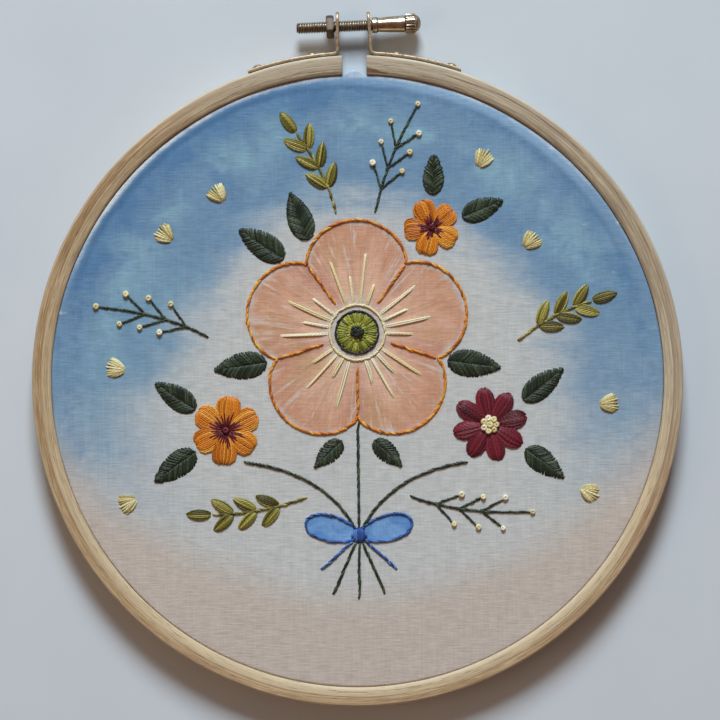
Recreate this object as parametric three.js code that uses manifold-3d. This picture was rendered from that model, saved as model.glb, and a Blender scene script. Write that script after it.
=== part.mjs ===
// Hoop embroidery art: a round of cotton held flat between two wooden rings, with a posy stitched on it.
// Millimetres, +Z up. The hoop lies on its back, its face is up, and the brass screw is at the +Y end.
// The origin is under the middle of the whole object, on the surface that it rests on.
import * as THREE from "three";
import { mergeVertices } from "three/addons/utils/BufferGeometryUtils.js";
import Module from "manifold-3d";

const wasm = await Module();
wasm.setup();

// Driving dimensions. Lengths are in millimetres and angles in degrees.
const CLEARANCE = 0.3;
const ROUND_STEPS = 64;
const ROD_SIDES = 16;
const RIVET_SIDES = 10;
const OUTER_RING = { outside: 101.2, inside: 95.2, depth: 10, slit: 7.5, innerEdge: 0.6, outerEdge: 2.2 };
const CLOTH = { thickness: 1, face: 9.2, edge: 1.4, trim: 0.6 };
const PUCKER = { halfWidth: 3.2, standsOut: 1.7, halfHeight: 4.1, middle: 4.8 };
const INNER_RING = { width: 5, edge: 0.7 };
const BRACKET = { thickness: 1, width: 7, reach: 19, ear: 4.7, earTop: 115, bend: 1.2, earCorner: 2.6 };
const BRACKETS = [
  { side: -1, name: "bracket_left", lean: 0 },
  { side: 1, name: "bracket_right", lean: 3.5 },
];
const RIVET = { head: 1.5, dome: 0.8, shank: 0.7, depth: 3, angles: [7.4, 17.2] };
const SCREW = { height: 110.7, tilt: 1.9, radius: 1.75, freeEnd: -18 };
const HEAD_START = 5.6;
const HEAD_RADII = { collar: 2.5, neck: 2.2, barrel: 2.65, fluted: 3.1 };
const HEAD_LENGTHS = { collar: 1.6, neck: 0.5, barrel: 8.3, fluted: 3.2, dome: 1.6 };
const FLUTES = { count: 20, depth: 0.3 };
const NUT = { acrossFlats: 6.6, thickness: 2.4, turn: 18 };
const THREAD = { line: 1.2, fine: 1, rise: 0.7, padRise: 1, crown: 0.6, knot: 1.15 };
const CURVE_STEPS = { stem: 5, loop: 14, petal: 6, bloomPetal: 12, knot: 6, disc: 16 };

// The posy. Places are measured from the hoop's centre, and aim is counted from +X towards +Y.
const BLOOM = { x: 0, y: 15, radius: 35, petals: 5, turn: 90, notch: 0.26, eye: 6.4, ring: 8.6 };
const STAMENS = { perPetal: 4, spread: 40, shortest: 17, longest: 24 };
const FLOWERS = [
  { name: "flower_maroon", x: 41, y: -14, radius: 12, petals: 8, turn: 12, notch: 0.34, thread: "maroon" },
  { name: "flower_orange", x: -41, y: -15, radius: 10.5, petals: 6, turn: 25, notch: 0.36, thread: "orange" },
  { name: "flower_small", x: 23.5, y: 47.5, radius: 8.6, petals: 5, turn: 40, notch: 0.38, thread: "orange" },
];
const KNOT_HEAP = { flower: FLOWERS[0], radius: 2.8 };
const LEAVES = [
  { x: -15, y: 43.8, aim: 110, length: 16, width: 8.5 },
  { x: -22.5, y: 38, aim: 146, length: 17, width: 9 },
  { x: -28, y: 6, aim: 188, length: 17, width: 9 },
  { x: 28, y: 6, aim: 352, length: 17, width: 9 },
  { x: 51.5, y: -6.5, aim: 38, length: 16, width: 8 },
  { x: 52, y: -21.5, aim: 322, length: 15, width: 8 },
  { x: -50.5, y: -8.5, aim: 146, length: 15, width: 8 },
  { x: -50.5, y: -21.5, aim: 216, length: 16, width: 8.5 },
  { x: 33, y: 50.5, aim: 22, length: 14, width: 7.5 },
  { x: 24, y: 57.5, aim: 88, length: 13, width: 7 },
  { x: -5, y: -18.5, aim: 224, length: 12, width: 6.5 },
  { x: 5, y: -18.5, aim: 316, length: 12, width: 6.5 },
];
const LEAF_SPRIGS = [
  { x: -6, y: 52, aim: 104, length: 28, bend: 12, pairs: 3 },
  { x: 50, y: 12, aim: 40, length: 26, bend: -12, pairs: 3 },
  { x: -16, y: -36, aim: 200, length: 30, bend: -10, pairs: 3 },
];
const KNOT_SPRIGS = [
  { x: 6, y: 52, aim: 78, length: 28, bend: -8, pairs: 3 },
  { x: -46, y: 14, aim: 152, length: 28, bend: 10, pairs: 3 },
  { x: 16, y: -36, aim: -20, length: 30, bend: 10, pairs: 3 },
];
const SPRIG_LEAF = { length: 8.5, width: 3.6, splay: 36, nearest: 0.3, furthest: 0.78 };
const SPRIG_TWIG = { length: 8.5, splay: 34, nearest: 0.28, furthest: 0.76 };
const BUDS = [
  { x: -41, y: 56, aim: 128 },
  { x: -57, y: 44, aim: 140 },
  { x: 38, y: 66, aim: 58 },
  { x: -72, y: 4, aim: 170 },
  { x: 75, y: -8, aim: 5 },
  { x: 69, y: -34, aim: 335 },
  { x: -69, y: -36, aim: 207 },
  { x: 52, y: 41, aim: 40 },
];
const BUD = { length: 6.4, width: 6 };
const TIE = { x: 0, y: -48 };
const STEMS = [
  { x: 0, y: -12.6, leave: 90, foot: 270 },
  { x: 34, y: -25.5, leave: 62, foot: 246 },
  { x: -35.5, y: -25, leave: 118, foot: 294 },
];
const FOOT_LENGTH = 20;
const BOW = { knot: 5, loop: 17, loopWidth: 9, loopAim: 14, tail: 16, tailAim: 318, gap: 4.3 };
const BOW_LOOP = [
  { along: 0, across: 0 },
  { along: 0.45, across: 0.4 },
  { along: 0.85, across: 0.45 },
  { along: 1, across: 0 },
  { along: 0.85, across: -0.45 },
  { along: 0.45, across: -0.4 },
  { along: 0, across: 0 },
];

const COLOURS = {
  wood: { color: 0xc8ab7e, roughness: 0.62, metalness: 0 },
  cotton: { color: 0xb9c3cc, roughness: 0.92, metalness: 0 },
  brass: { color: 0xb08d57, roughness: 0.3, metalness: 1 },
  maroon: { color: 0x7a1c30, roughness: 0.6, metalness: 0 },
  orange: { color: 0xe0892b, roughness: 0.6, metalness: 0 },
  green: { color: 0x21402b, roughness: 0.65, metalness: 0 },
  olive: { color: 0x77792c, roughness: 0.65, metalness: 0 },
  cream: { color: 0xe6d6a4, roughness: 0.65, metalness: 0 },
  blue: { color: 0x2c54a4, roughness: 0.6, metalness: 0 },
  lime: { color: 0x8c9a2f, roughness: 0.6, metalness: 0 },
};

// Sizes that follow from the driving dimensions.
const skirtOutside = OUTER_RING.inside - CLEARANCE;
const skirtInside = skirtOutside - CLOTH.thickness;
const innerRingOutside = skirtInside - CLEARANCE;
const innerRingTop = CLOTH.face - CLOTH.thickness - CLEARANCE;
const midDepth = OUTER_RING.depth / 2;
const stitchBase = CLOTH.face + CLEARANCE;
const stripInside = OUTER_RING.outside + CLEARANCE;
const stripOutside = stripInside + BRACKET.thickness;
const centreShift = (BRACKET.earTop - OUTER_RING.outside) / 2;

const radians = THREE.MathUtils.degToRad;
const materials = Object.fromEntries(
  Object.entries(COLOURS).map(([name, look]) => [name, new THREE.MeshStandardMaterial(look)]),
);

// A closed geometry as a solid that can be joined and cut, and back again.
function toSolid(geometry) {
  const bare = geometry.clone();
  bare.deleteAttribute("normal");
  bare.deleteAttribute("uv");
  const merged = mergeVertices(bare, 1e-3);
  const vertProperties = merged.attributes.position.array;
  const triVerts = new Uint32Array(merged.index.array);
  return new wasm.Manifold(new wasm.Mesh({ numProp: 3, vertProperties, triVerts }));
}

function toGeometry(solid) {
  const { vertProperties, triVerts } = solid.getMesh();
  const geometry = new THREE.BufferGeometry();
  geometry.setAttribute("position", new THREE.BufferAttribute(vertProperties, 3));
  geometry.setIndex(new THREE.BufferAttribute(triVerts, 1));
  geometry.computeVertexNormals();
  return geometry;
}

const joined = (geometries) => toGeometry(geometries.map(toSolid).reduce((whole, piece) => whole.add(piece)));

function named(name, geometry, material) {
  const mesh = new THREE.Mesh(geometry, materials[material]);
  mesh.name = name;
  return mesh;
}

// A ring or disc about +Z, from an outline in radius and height.
const turned = (outline) => new THREE.LatheGeometry(outline, ROUND_STEPS).rotateX(Math.PI / 2);

// A many-sided hole is widened so that its flats clear a round rod too.
const holeRadius = (rod, sides) => (rod + CLEARANCE) / Math.cos(Math.PI / sides);

// The hole through both ears, along the screw's axis: it climbs a little to the right.
function screwHole() {
  const radius = holeRadius(SCREW.radius, ROD_SIDES);
  const bore = new THREE.CylinderGeometry(radius, radius, 4 * BRACKET.width, ROD_SIDES).rotateZ(-Math.PI / 2);
  return bore.rotateZ(radians(SCREW.tilt)).translate(0, SCREW.height, midDepth);
}

// The hole for a rivet points out from the hoop's centre, through the strip and into the wood.
function rivetHole(side, angle) {
  const radius = holeRadius(RIVET.shank, RIVET_SIDES);
  const from = OUTER_RING.outside - RIVET.depth - CLEARANCE;
  const to = stripOutside + CLEARANCE;
  const hole = new THREE.CylinderGeometry(radius, radius, to - from, RIVET_SIDES);
  return hole.translate(0, (from + to) / 2, 0).rotateZ(radians(-side * angle)).translate(0, 0, midDepth);
}

// Rectangle in radius and height with its four corners rounded, closed on itself for turning.
function ringOutline(inside, outside, bottom, top, innerEdge, outerEdge) {
  const quarter = Math.PI / 2;
  const shape = new THREE.Shape();
  shape.absarc(outside - outerEdge, bottom + outerEdge, outerEdge, -quarter, 0);
  shape.absarc(outside - outerEdge, top - outerEdge, outerEdge, 0, quarter);
  shape.absarc(inside + innerEdge, top - innerEdge, innerEdge, quarter, 2 * quarter);
  shape.absarc(inside + innerEdge, bottom + innerEdge, innerEdge, 2 * quarter, 3 * quarter);
  shape.closePath();
  return shape.getPoints(1);
}

function outerRing() {
  const { outside, inside, depth, slit, innerEdge, outerEdge } = OUTER_RING;
  const wood = toSolid(turned(ringOutline(inside, outside, 0, depth, innerEdge, outerEdge)));
  const slitCut = new THREE.BoxGeometry(slit, outside, 3 * depth).translate(0, outside, 0);
  const holes = BRACKETS.flatMap(({ side }) => RIVET.angles.map((angle) => rivetHole(side, angle)));
  const cut = [slitCut, ...holes].reduce((left, tool) => left.subtract(toSolid(tool)), wood);
  return named("outer_ring", toGeometry(cut), "wood");
}

function innerRing() {
  const { width, edge } = INNER_RING;
  const outline = ringOutline(innerRingOutside - width, innerRingOutside, 0, innerRingTop, edge, edge);
  return named("inner_ring", turned(outline), "wood");
}

// The cloth is flat across the face, rolls over the inner ring and runs down between the rings.
function groundCloth() {
  const { thickness, face, edge, trim } = CLOTH;
  const back = face - thickness;
  const shape = new THREE.Shape();
  shape.moveTo(0, back);
  shape.lineTo(skirtInside, back);
  shape.lineTo(skirtInside, trim);
  shape.lineTo(skirtOutside, trim);
  shape.absarc(skirtOutside - edge, face - edge, edge, 0, Math.PI / 2);
  shape.lineTo(0, face);
  const drum = toSolid(turned(shape.getPoints(2)));
  const pucker = new THREE.SphereGeometry(1, 12, 8);
  pucker.scale(PUCKER.halfWidth, PUCKER.standsOut + thickness, PUCKER.halfHeight);
  pucker.translate(0, skirtOutside - thickness, PUCKER.middle);
  const behind = turned([
    new THREE.Vector2(0, -1),
    new THREE.Vector2(skirtInside, -1),
    new THREE.Vector2(skirtInside, back),
    new THREE.Vector2(0, back),
  ]);
  const solid = drum.add(toSolid(pucker).subtract(toSolid(behind)));
  return named("ground_cloth", toGeometry(solid), "cotton");
}

// One brass strip: it follows the ring's outside, then turns up into an ear beside the slit.
function bracket({ side, name, lean }) {
  const { thickness, width, reach, ear, earTop, bend, earCorner } = BRACKET;
  const around = (angle) => Math.PI / 2 - side * angle;
  const offAxis = (x, radius) => Math.sqrt(radius * radius - x * x);
  const end = radians(reach);
  const outerFace = ear + thickness;
  const bendOutside = bend + thickness;
  const footInside = offAxis(ear, stripInside);
  const footOutside = offAxis(outerFace, stripOutside);
  const leaning = (x, y) => side * (x - (y - footInside) * Math.tan(radians(lean)));
  const startInside = ear + bendOutside;
  const startOutside = outerFace + bend;
  const shape = new THREE.Shape();
  shape.absarc(0, 0, stripInside, around(end), around(Math.asin(startInside / stripInside)), side < 0);
  const earInside = footInside + bendOutside;
  shape.quadraticCurveTo(side * ear, footInside, leaning(ear, earInside), earInside);
  shape.lineTo(leaning(ear, earTop), earTop);
  shape.lineTo(leaning(outerFace, earTop), earTop);
  shape.lineTo(leaning(outerFace, footOutside + bend), footOutside + bend);
  const landing = [side * startOutside, offAxis(startOutside, stripOutside)];
  shape.quadraticCurveTo(leaning(outerFace, footOutside), footOutside, ...landing);
  shape.absarc(0, 0, stripOutside, around(Math.asin(startOutside / stripOutside)), around(end), side > 0);
  shape.closePath();
  const low = midDepth - width / 2;
  const strip = new THREE.ExtrudeGeometry(shape, { depth: width, bevelEnabled: false, curveSegments: 6 });
  strip.translate(0, 0, low);

  // Seen along X the ear has round corners: everything outside this outline is trimmed away.
  const profile = new THREE.Shape();
  const high = low + width;
  profile.moveTo(0, low);
  profile.lineTo(earTop - earCorner, low);
  profile.absarc(earTop - earCorner, low + earCorner, earCorner, -Math.PI / 2, 0);
  profile.absarc(earTop - earCorner, high - earCorner, earCorner, 0, Math.PI / 2);
  profile.lineTo(0, high);
  const span = 2 * earTop;
  const keep = new THREE.ExtrudeGeometry(profile, { depth: span, bevelEnabled: false, curveSegments: 4 });
  keep.rotateX(Math.PI / 2).rotateZ(Math.PI / 2).translate(-earTop, 0, 0);

  const holes = [screwHole(), ...RIVET.angles.map((angle) => rivetHole(side, angle))];
  const trimmed = toSolid(strip).intersect(toSolid(keep));
  const solid = holes.reduce((left, hole) => left.subtract(toSolid(hole)), trimmed);
  return named(name, toGeometry(solid), "brass");
}

// A round-headed rivet whose shank goes through the strip into the wood.
function rivet(side, angle, name) {
  const { head, dome, shank, depth } = RIVET;
  const seat = stripOutside + CLEARANCE;
  const outline = new THREE.Shape();
  outline.moveTo(0, OUTER_RING.outside - depth);
  outline.lineTo(shank, OUTER_RING.outside - depth);
  outline.lineTo(shank, seat);
  outline.lineTo(head, seat);
  outline.absellipse(0, seat, head, dome, 0, Math.PI / 2);
  const mesh = named(name, new THREE.LatheGeometry(outline.getPoints(2), RIVET_SIDES), "brass");
  mesh.rotation.z = radians(-side * angle);
  mesh.position.z = midDepth;
  return mesh;
}

// Corners of a many-sided outline about the origin, with a radius for each.
function corners(count, turn, radiusAt) {
  return Array.from({ length: count }, (_, i) => {
    const angle = radians(turn + (360 * i) / count);
    return new THREE.Vector2(radiusAt(i) * Math.cos(angle), radiusAt(i) * Math.sin(angle));
  });
}

// The screw is turned in one piece: shaft, collar, waisted barrel, fluted thumb end and its dome.
function tensionScrew() {
  const { collar, neck, barrel, fluted } = HEAD_RADII;
  const core = fluted - FLUTES.depth;
  const neckAt = HEAD_START + HEAD_LENGTHS.collar;
  const barrelAt = neckAt + HEAD_LENGTHS.neck;
  const flutedAt = barrelAt + HEAD_LENGTHS.barrel;
  const domeAt = flutedAt + HEAD_LENGTHS.fluted;
  const outline = new THREE.Shape();
  outline.moveTo(0, SCREW.freeEnd);
  outline.lineTo(SCREW.radius - CLEARANCE, SCREW.freeEnd);
  outline.lineTo(SCREW.radius, SCREW.freeEnd + CLEARANCE);
  outline.lineTo(SCREW.radius, HEAD_START);
  outline.lineTo(collar, HEAD_START);
  outline.lineTo(collar, neckAt);
  outline.lineTo(neck, barrelAt);
  outline.lineTo(barrel, flutedAt);
  outline.lineTo(core, flutedAt);
  outline.lineTo(core, domeAt);
  outline.absellipse(0, domeAt, core, HEAD_LENGTHS.dome, 0, Math.PI / 2);
  const shaft = new THREE.LatheGeometry(outline.getPoints(2), ROD_SIDES).rotateZ(-Math.PI / 2);
  const grip = new THREE.Shape(corners(2 * FLUTES.count, 0, (i) => (i % 2 ? core : fluted)));
  const thumb = new THREE.ExtrudeGeometry(grip, { depth: HEAD_LENGTHS.fluted, bevelEnabled: false });
  thumb.rotateY(Math.PI / 2).translate(flutedAt, 0, 0);
  return named("tension_screw", joined([shaft, thumb]), "brass");
}

function hexNut() {
  const { acrossFlats, thickness, turn } = NUT;
  const shape = new THREE.Shape(corners(6, turn, () => acrossFlats / Math.sqrt(3)));
  const hole = holeRadius(SCREW.radius, ROD_SIDES);
  shape.holes.push(new THREE.Path(corners(ROD_SIDES, 0, () => hole)));
  const nut = new THREE.ExtrudeGeometry(shape, { depth: thickness, bevelEnabled: false });
  const earFace = BRACKET.ear + BRACKET.thickness + CLEARANCE;
  nut.rotateY(Math.PI / 2).translate(-earFace - thickness - CLEARANCE, 0, 0);
  return named("hex_nut", nut, "brass");
}

// The point on the cloth at a distance from another, in the direction of aim.
function spot({ x, y }, aim = 0, distance = 0) {
  const angle = radians(aim);
  return new THREE.Vector3(x + distance * Math.cos(angle), y + distance * Math.sin(angle), stitchBase);
}

// Thread lies on the cloth as low relief: a filled outline, or a ridge along a curve.
function relief(shape, rise = THREAD.padRise) {
  const pad = new THREE.ExtrudeGeometry(shape, { depth: rise, bevelEnabled: false, curveSegments: 5 });
  return pad.translate(0, 0, stitchBase);
}

function ridge(curve, width = THREAD.line, steps = 1) {
  const half = width / 2;
  const crown = half * THREAD.crown;
  const section = new THREE.Shape();
  section.moveTo(0, -half);
  section.lineTo(0, half);
  section.lineTo(-THREAD.rise, crown);
  section.lineTo(-THREAD.rise, -crown);
  section.closePath();
  return new THREE.ExtrudeGeometry(section, { steps, extrudePath: curve });
}

const straight = (from, to, width) => ridge(new THREE.LineCurve3(from, to), width);

// A petal or leaf that points along +X. Its sides are drawn by two pulls, as shares of length and width.
const BLADES = {
  leaf: [{ along: 0.15, across: 0.75 }, { along: 0.7, across: 0.5 }],
  sprig: [{ along: 0.3, across: 0.7 }, { along: 0.75, across: 0.55 }],
  bud: [{ along: 0.3, across: 0.15 }, { along: 0.85, across: 1.05 }],
};

function blade(kind, { length, width }, { x, y }, aim) {
  const [near, far] = BLADES[kind];
  const foot = THREAD.line / 3;
  const shape = new THREE.Shape();
  shape.moveTo(0, -foot);
  const pull = ({ along, across }, side) => [along * length, side * across * width];
  shape.bezierCurveTo(...pull(near, -1), ...pull(far, -1), length, 0);
  shape.bezierCurveTo(...pull(far, 1), ...pull(near, 1), 0, foot);
  shape.closePath();
  return relief(shape).rotateZ(radians(aim)).translate(x, y, 0);
}

// A flower's outline: round lobes with sharp notches between them.
function lobes({ x, y, radius, petals, turn, notch }, grow = 0, pointsPerPetal = CURVE_STEPS.petal) {
  const fullness = 0.7;
  const outline = [];
  for (let i = 0; i < petals * pointsPerPetal; i += 1) {
    const share = i / pointsPerPetal - 0.5;
    const lobe = Math.abs(Math.cos(Math.PI * (share - Math.round(share)))) ** fullness;
    const reach = radius * (1 - notch * (1 - lobe)) + grow;
    outline.push(spot({ x, y }, turn + (360 * share) / petals, reach));
  }
  return outline;
}

// The bloom is drawn by its edge and by the lines between its petals.
function bloomOutline() {
  const half = THREAD.line / 2;
  const edge = new THREE.Shape(lobes(BLOOM, half, CURVE_STEPS.bloomPetal));
  edge.holes.push(new THREE.Path(lobes(BLOOM, -half, CURVE_STEPS.bloomPetal)));
  const pieces = [relief(edge, THREAD.rise)];
  for (let i = 0; i < BLOOM.petals; i += 1) {
    const aim = BLOOM.turn + (360 * (i + 0.5)) / BLOOM.petals;
    const inner = spot(BLOOM, aim, BLOOM.ring + 2 * THREAD.line);
    pieces.push(straight(inner, spot(BLOOM, aim, BLOOM.radius * (1 - BLOOM.notch))));
  }
  return named("bloom_outline", joined(pieces), "orange");
}

function disc({ x, y }, radius, rise, lift = 0, sides = CURVE_STEPS.disc) {
  const narrower = 0.75;
  const drum = new THREE.CylinderGeometry(radius * narrower, radius, rise, sides);
  return drum.rotateX(Math.PI / 2).translate(x, y, stitchBase + lift + rise / 2);
}

const bloomEye = () => named("bloom_eye", disc(BLOOM, BLOOM.eye, THREAD.padRise), "lime");

// A stitched ring round the eye, with long straight stitches out over each petal.
function bloomStamens() {
  const { perPetal, spread, shortest, longest } = STAMENS;
  const circle = (radius) => corners(CURVE_STEPS.disc, 0, () => radius);
  const band = new THREE.Shape(circle(BLOOM.ring + THREAD.line / 2));
  band.holes.push(new THREE.Path(circle(BLOOM.ring - THREAD.line / 2)));
  const pieces = [relief(band, THREAD.rise).translate(BLOOM.x, BLOOM.y, 0)];
  for (let petal = 0; petal < BLOOM.petals; petal += 1) {
    for (let i = 0; i < perPetal; i += 1) {
      const aim = BLOOM.turn + (360 * petal) / BLOOM.petals + spread * (i / (perPetal - 1) - 0.5);
      const reach = i % 2 ? longest : shortest;
      pieces.push(straight(spot(BLOOM, aim, BLOOM.ring), spot(BLOOM, aim, reach), THREAD.fine));
    }
  }
  return named("bloom_stamens", joined(pieces), "cream");
}

const flower = (row) => named(row.name, relief(new THREE.Shape(lobes(row))), row.thread);

// A little heap of knots in the middle of one flower, above its petals.
function flowerKnots() {
  const { flower: under, radius } = KNOT_HEAP;
  return named("flower_knots", disc(under, radius, THREAD.rise, THREAD.padRise + CLEARANCE), "cream");
}

// A stem that starts at one aim and ends turned by bend.
function stemCurve({ x, y, aim, length, bend }) {
  const from = spot({ x, y });
  return new THREE.QuadraticBezierCurve3(from, spot(from, aim, length / 2), spot(from, aim + bend, length));
}

// Where the side pieces and the end piece of a sprig leave its stem, and which way they point.
function offshoots(row, { nearest, furthest, splay }) {
  const curve = stemCurve(row);
  const aimAt = (share) => {
    const along = curve.getTangent(share);
    return THREE.MathUtils.radToDeg(Math.atan2(along.y, along.x));
  };
  const shoots = [{ point: curve.getPoint(1), aim: aimAt(1) }];
  for (let i = 0; i < row.pairs; i += 1) {
    const share = nearest + ((furthest - nearest) * i) / (row.pairs - 1);
    const point = curve.getPoint(share);
    for (const turn of [-splay, splay]) shoots.push({ point, aim: aimAt(share) + turn });
  }
  return shoots;
}

function leafSprig(row, i) {
  const stem = ridge(stemCurve(row), THREAD.line, CURVE_STEPS.stem);
  const leaves = offshoots(row, SPRIG_LEAF).map(({ point, aim }) => blade("sprig", SPRIG_LEAF, point, aim));
  return named(`leaf_sprig_${i + 1}`, joined([stem, ...leaves]), "olive");
}

// A French knot sits on the end of each twig.
function knotSprig(row, i) {
  const stem = ridge(stemCurve(row), THREAD.line, CURVE_STEPS.stem);
  const twigs = offshoots(row, SPRIG_TWIG).flatMap(({ point, aim }) => {
    const tip = spot(point, aim, SPRIG_TWIG.length);
    return [straight(point, tip, THREAD.fine), disc(tip, THREAD.knot, THREAD.padRise, 0, CURVE_STEPS.knot)];
  });
  return named(`knot_sprig_${i + 1}`, joined([stem, ...twigs]), "green");
}

// Stems run from the tie to the blooms, and their cut feet splay out below it.
function gathered(name, aims, lines) {
  const ends = aims.map((aim) => spot(TIE, aim, BOW.gap)).sort((a, b) => a.x - b.x);
  const band = ends.slice(1).map((end, i) => straight(ends[i], end));
  return named(name, joined([...lines, ...band]), "green");
}

function stemsAbove() {
  const lines = STEMS.map(({ x, y, leave }) => {
    const from = spot(TIE, leave, BOW.gap);
    const to = spot({ x, y });
    const pull = spot(from, leave, from.distanceTo(to) / 2);
    return ridge(new THREE.QuadraticBezierCurve3(from, pull, to), THREAD.line, CURVE_STEPS.stem);
  });
  return gathered("stems_above", STEMS.map(({ leave }) => leave), lines);
}

function stemsBelow() {
  const lines = STEMS.map(({ foot }) => straight(spot(TIE, foot, BOW.gap), spot(TIE, foot, FOOT_LENGTH)));
  return gathered("stems_below", STEMS.map(({ foot }) => foot), lines);
}

// Two stitched loops and two tails leave a filled knot.
function bow() {
  const pieces = [disc(TIE, BOW.knot / 2, THREAD.padRise)];
  for (const mirrored of [false, true]) {
    const facing = (aim) => (mirrored ? 180 - aim : aim);
    const route = BOW_LOOP.map(({ along, across }) => {
      const reach = spot(TIE, facing(BOW.loopAim), along * BOW.loop);
      return spot(reach, facing(BOW.loopAim + 90), across * BOW.loopWidth);
    });
    pieces.push(ridge(new THREE.CatmullRomCurve3(route), THREAD.line, CURVE_STEPS.loop));
    pieces.push(straight(spot(TIE), spot(TIE, facing(BOW.tailAim), BOW.tail)));
  }
  return named("bow", joined(pieces), "blue");
}

const hoop = new THREE.Group();
hoop.position.y = -centreShift;
hoop.add(outerRing(), innerRing(), groundCloth(), ...BRACKETS.map(bracket));
for (const { side, name } of BRACKETS) {
  const rivetName = name.replace("bracket", "rivet");
  RIVET.angles.forEach((angle, i) => hoop.add(rivet(side, angle, `${rivetName}_${i + 1}`)));
}

const screwAxis = new THREE.Group();
screwAxis.position.set(0, SCREW.height, midDepth);
screwAxis.rotation.z = radians(SCREW.tilt);
screwAxis.add(tensionScrew(), hexNut());
hoop.add(screwAxis);

hoop.add(bloomOutline(), bloomEye(), bloomStamens(), ...FLOWERS.map(flower), flowerKnots());
hoop.add(...LEAVES.map((row, i) => named(`leaf_${i + 1}`, blade("leaf", row, row, row.aim), "green")));
hoop.add(...BUDS.map((row, i) => named(`bud_${i + 1}`, blade("bud", BUD, row, row.aim), "cream")));
hoop.add(...LEAF_SPRIGS.map(leafSprig), ...KNOT_SPRIGS.map(knotSprig));
hoop.add(stemsAbove(), stemsBelow(), bow());

const hoopArt = new THREE.Group();
hoopArt.add(hoop);
export default hoopArt;
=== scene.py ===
# Hoop embroidery art: a round of painted cotton held between two wooden rings, with a posy worked on it.
# Shapes are worked out in millimetres from the hoop's centre and go into the frame in metres.
import math

import bpy
import numpy as np
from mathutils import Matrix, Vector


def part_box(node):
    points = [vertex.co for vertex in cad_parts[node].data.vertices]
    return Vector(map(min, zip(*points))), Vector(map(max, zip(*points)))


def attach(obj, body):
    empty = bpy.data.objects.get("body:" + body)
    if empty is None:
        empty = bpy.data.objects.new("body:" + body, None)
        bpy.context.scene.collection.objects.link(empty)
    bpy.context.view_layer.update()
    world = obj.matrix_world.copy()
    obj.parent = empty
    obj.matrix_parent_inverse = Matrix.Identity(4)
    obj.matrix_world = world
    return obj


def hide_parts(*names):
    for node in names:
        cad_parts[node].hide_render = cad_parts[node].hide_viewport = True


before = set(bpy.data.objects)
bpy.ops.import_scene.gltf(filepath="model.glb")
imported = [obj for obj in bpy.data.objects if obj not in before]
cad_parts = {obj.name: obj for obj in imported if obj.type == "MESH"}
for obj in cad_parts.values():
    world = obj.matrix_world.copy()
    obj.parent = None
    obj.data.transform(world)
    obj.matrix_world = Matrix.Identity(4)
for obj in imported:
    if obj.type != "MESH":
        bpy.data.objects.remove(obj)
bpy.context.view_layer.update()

# the frame gives the hoop's place and its main sizes
mm = 0.001
innerLow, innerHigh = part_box("inner_ring")
outerLow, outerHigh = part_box("outer_ring")
clothLow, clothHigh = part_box("ground_cloth")
hoopPlace = np.array([(innerLow.x + innerHigh.x) / 2, (innerLow.y + innerHigh.y) / 2, 0])
ringOutside = (outerHigh.x - outerLow.x) / 2 / mm
ringDepth = outerHigh.z / mm
innerOutside = (innerHigh.x - innerLow.x) / 2 / mm
innerDepth = innerHigh.z / mm
clothOutside = (clothHigh.x - clothLow.x) / 2 / mm
clothFace = clothHigh.z / mm
clothTrim = clothLow.z / mm
clothSkin = 0.5  # the cotton's own thickness
touching = 0.04
solidGap = 0.3  # the solids stand this much apart, while here the two rings grip the cloth
ringInside = clothOutside + solidGap
gripOutside = ringInside - touching
gripInside = gripOutside - clothSkin
print("frame loaded: hoop of", round(2 * ringOutside, 1), "mm, cloth face at", round(clothFace, 1), "mm")


# light and camera

photo = {"pixels": 720, "hoopX": 357.5, "hoopY": 380.8, "mmPerPixel": 0.3105, "roll": 0.55}  # roll in degrees
camera = {"height": 1.0, "sensor": 36}  # metres above the ring's front, and millimetres
studio = {
    "level": 0.75,  # how bright a white surface facing up comes out
    "whitest": 0.92,  # no surface here gives back more than this
    "keyWatts": 71, "keySize": 0.85, "keyPlace": (0, 2.1, 1.55), "keyColour": (0.9, 0.985, 1.02),
    "fillWatts": 3.2, "fillSize": 0.9, "fillPlace": (-1.3, -0.3, 1.1), "fillColour": (1, 0.7, 0.46),
    "skyStrength": 0.2, "skyDim": (0.82, 0.42, 0.23, 1), "skyBright": (1, 0.97, 0.95, 1),
    "skyRise": (-0.5, 0.9),
}


# a colour as the photograph shows it: the power curve undone, then divided by the studio's light level
def seen(text):
    shares = np.array([int(text[i:i + 2], 16) for i in (0, 2, 4)]) / 255
    linear = np.where(shares > 0.04045, ((shares + 0.055) / 1.055) ** 2.4, shares / 12.92)
    return (*np.minimum(linear / studio["level"], studio["whitest"]), 1)


def placeCamera():
    across = photo["pixels"] * photo["mmPerPixel"]
    offX = (photo["pixels"] / 2 - photo["hoopX"]) * photo["mmPerPixel"]
    offY = (photo["hoopY"] - photo["pixels"] / 2) * photo["mmPerPixel"]
    roll = math.radians(photo["roll"])
    data = bpy.data.cameras.new("photo_camera")
    data.sensor_width = camera["sensor"]
    data.lens = camera["sensor"] * camera["height"] / (across * mm)
    eye = bpy.data.objects.new("photo_camera", data)
    eye.location = (
        hoopPlace[0] + (offX * math.cos(roll) + offY * math.sin(roll)) * mm,
        hoopPlace[1] + (offY * math.cos(roll) - offX * math.sin(roll)) * mm,
        ringDepth * mm + camera["height"],
    )
    eye.rotation_euler = (0, 0, -roll)
    bpy.context.collection.objects.link(eye)
    bpy.context.scene.camera = eye


def areaLight(name, place, size, watts, colour):
    data = bpy.data.lights.new(name, "AREA")
    data.size = size
    data.energy = watts
    data.color = colour
    lamp = bpy.data.objects.new(name, data)
    lamp.location = place
    towards = -lamp.location
    lamp.rotation_euler = towards.to_track_quat("-Z", "Y").to_euler()
    bpy.context.collection.objects.link(lamp)


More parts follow.
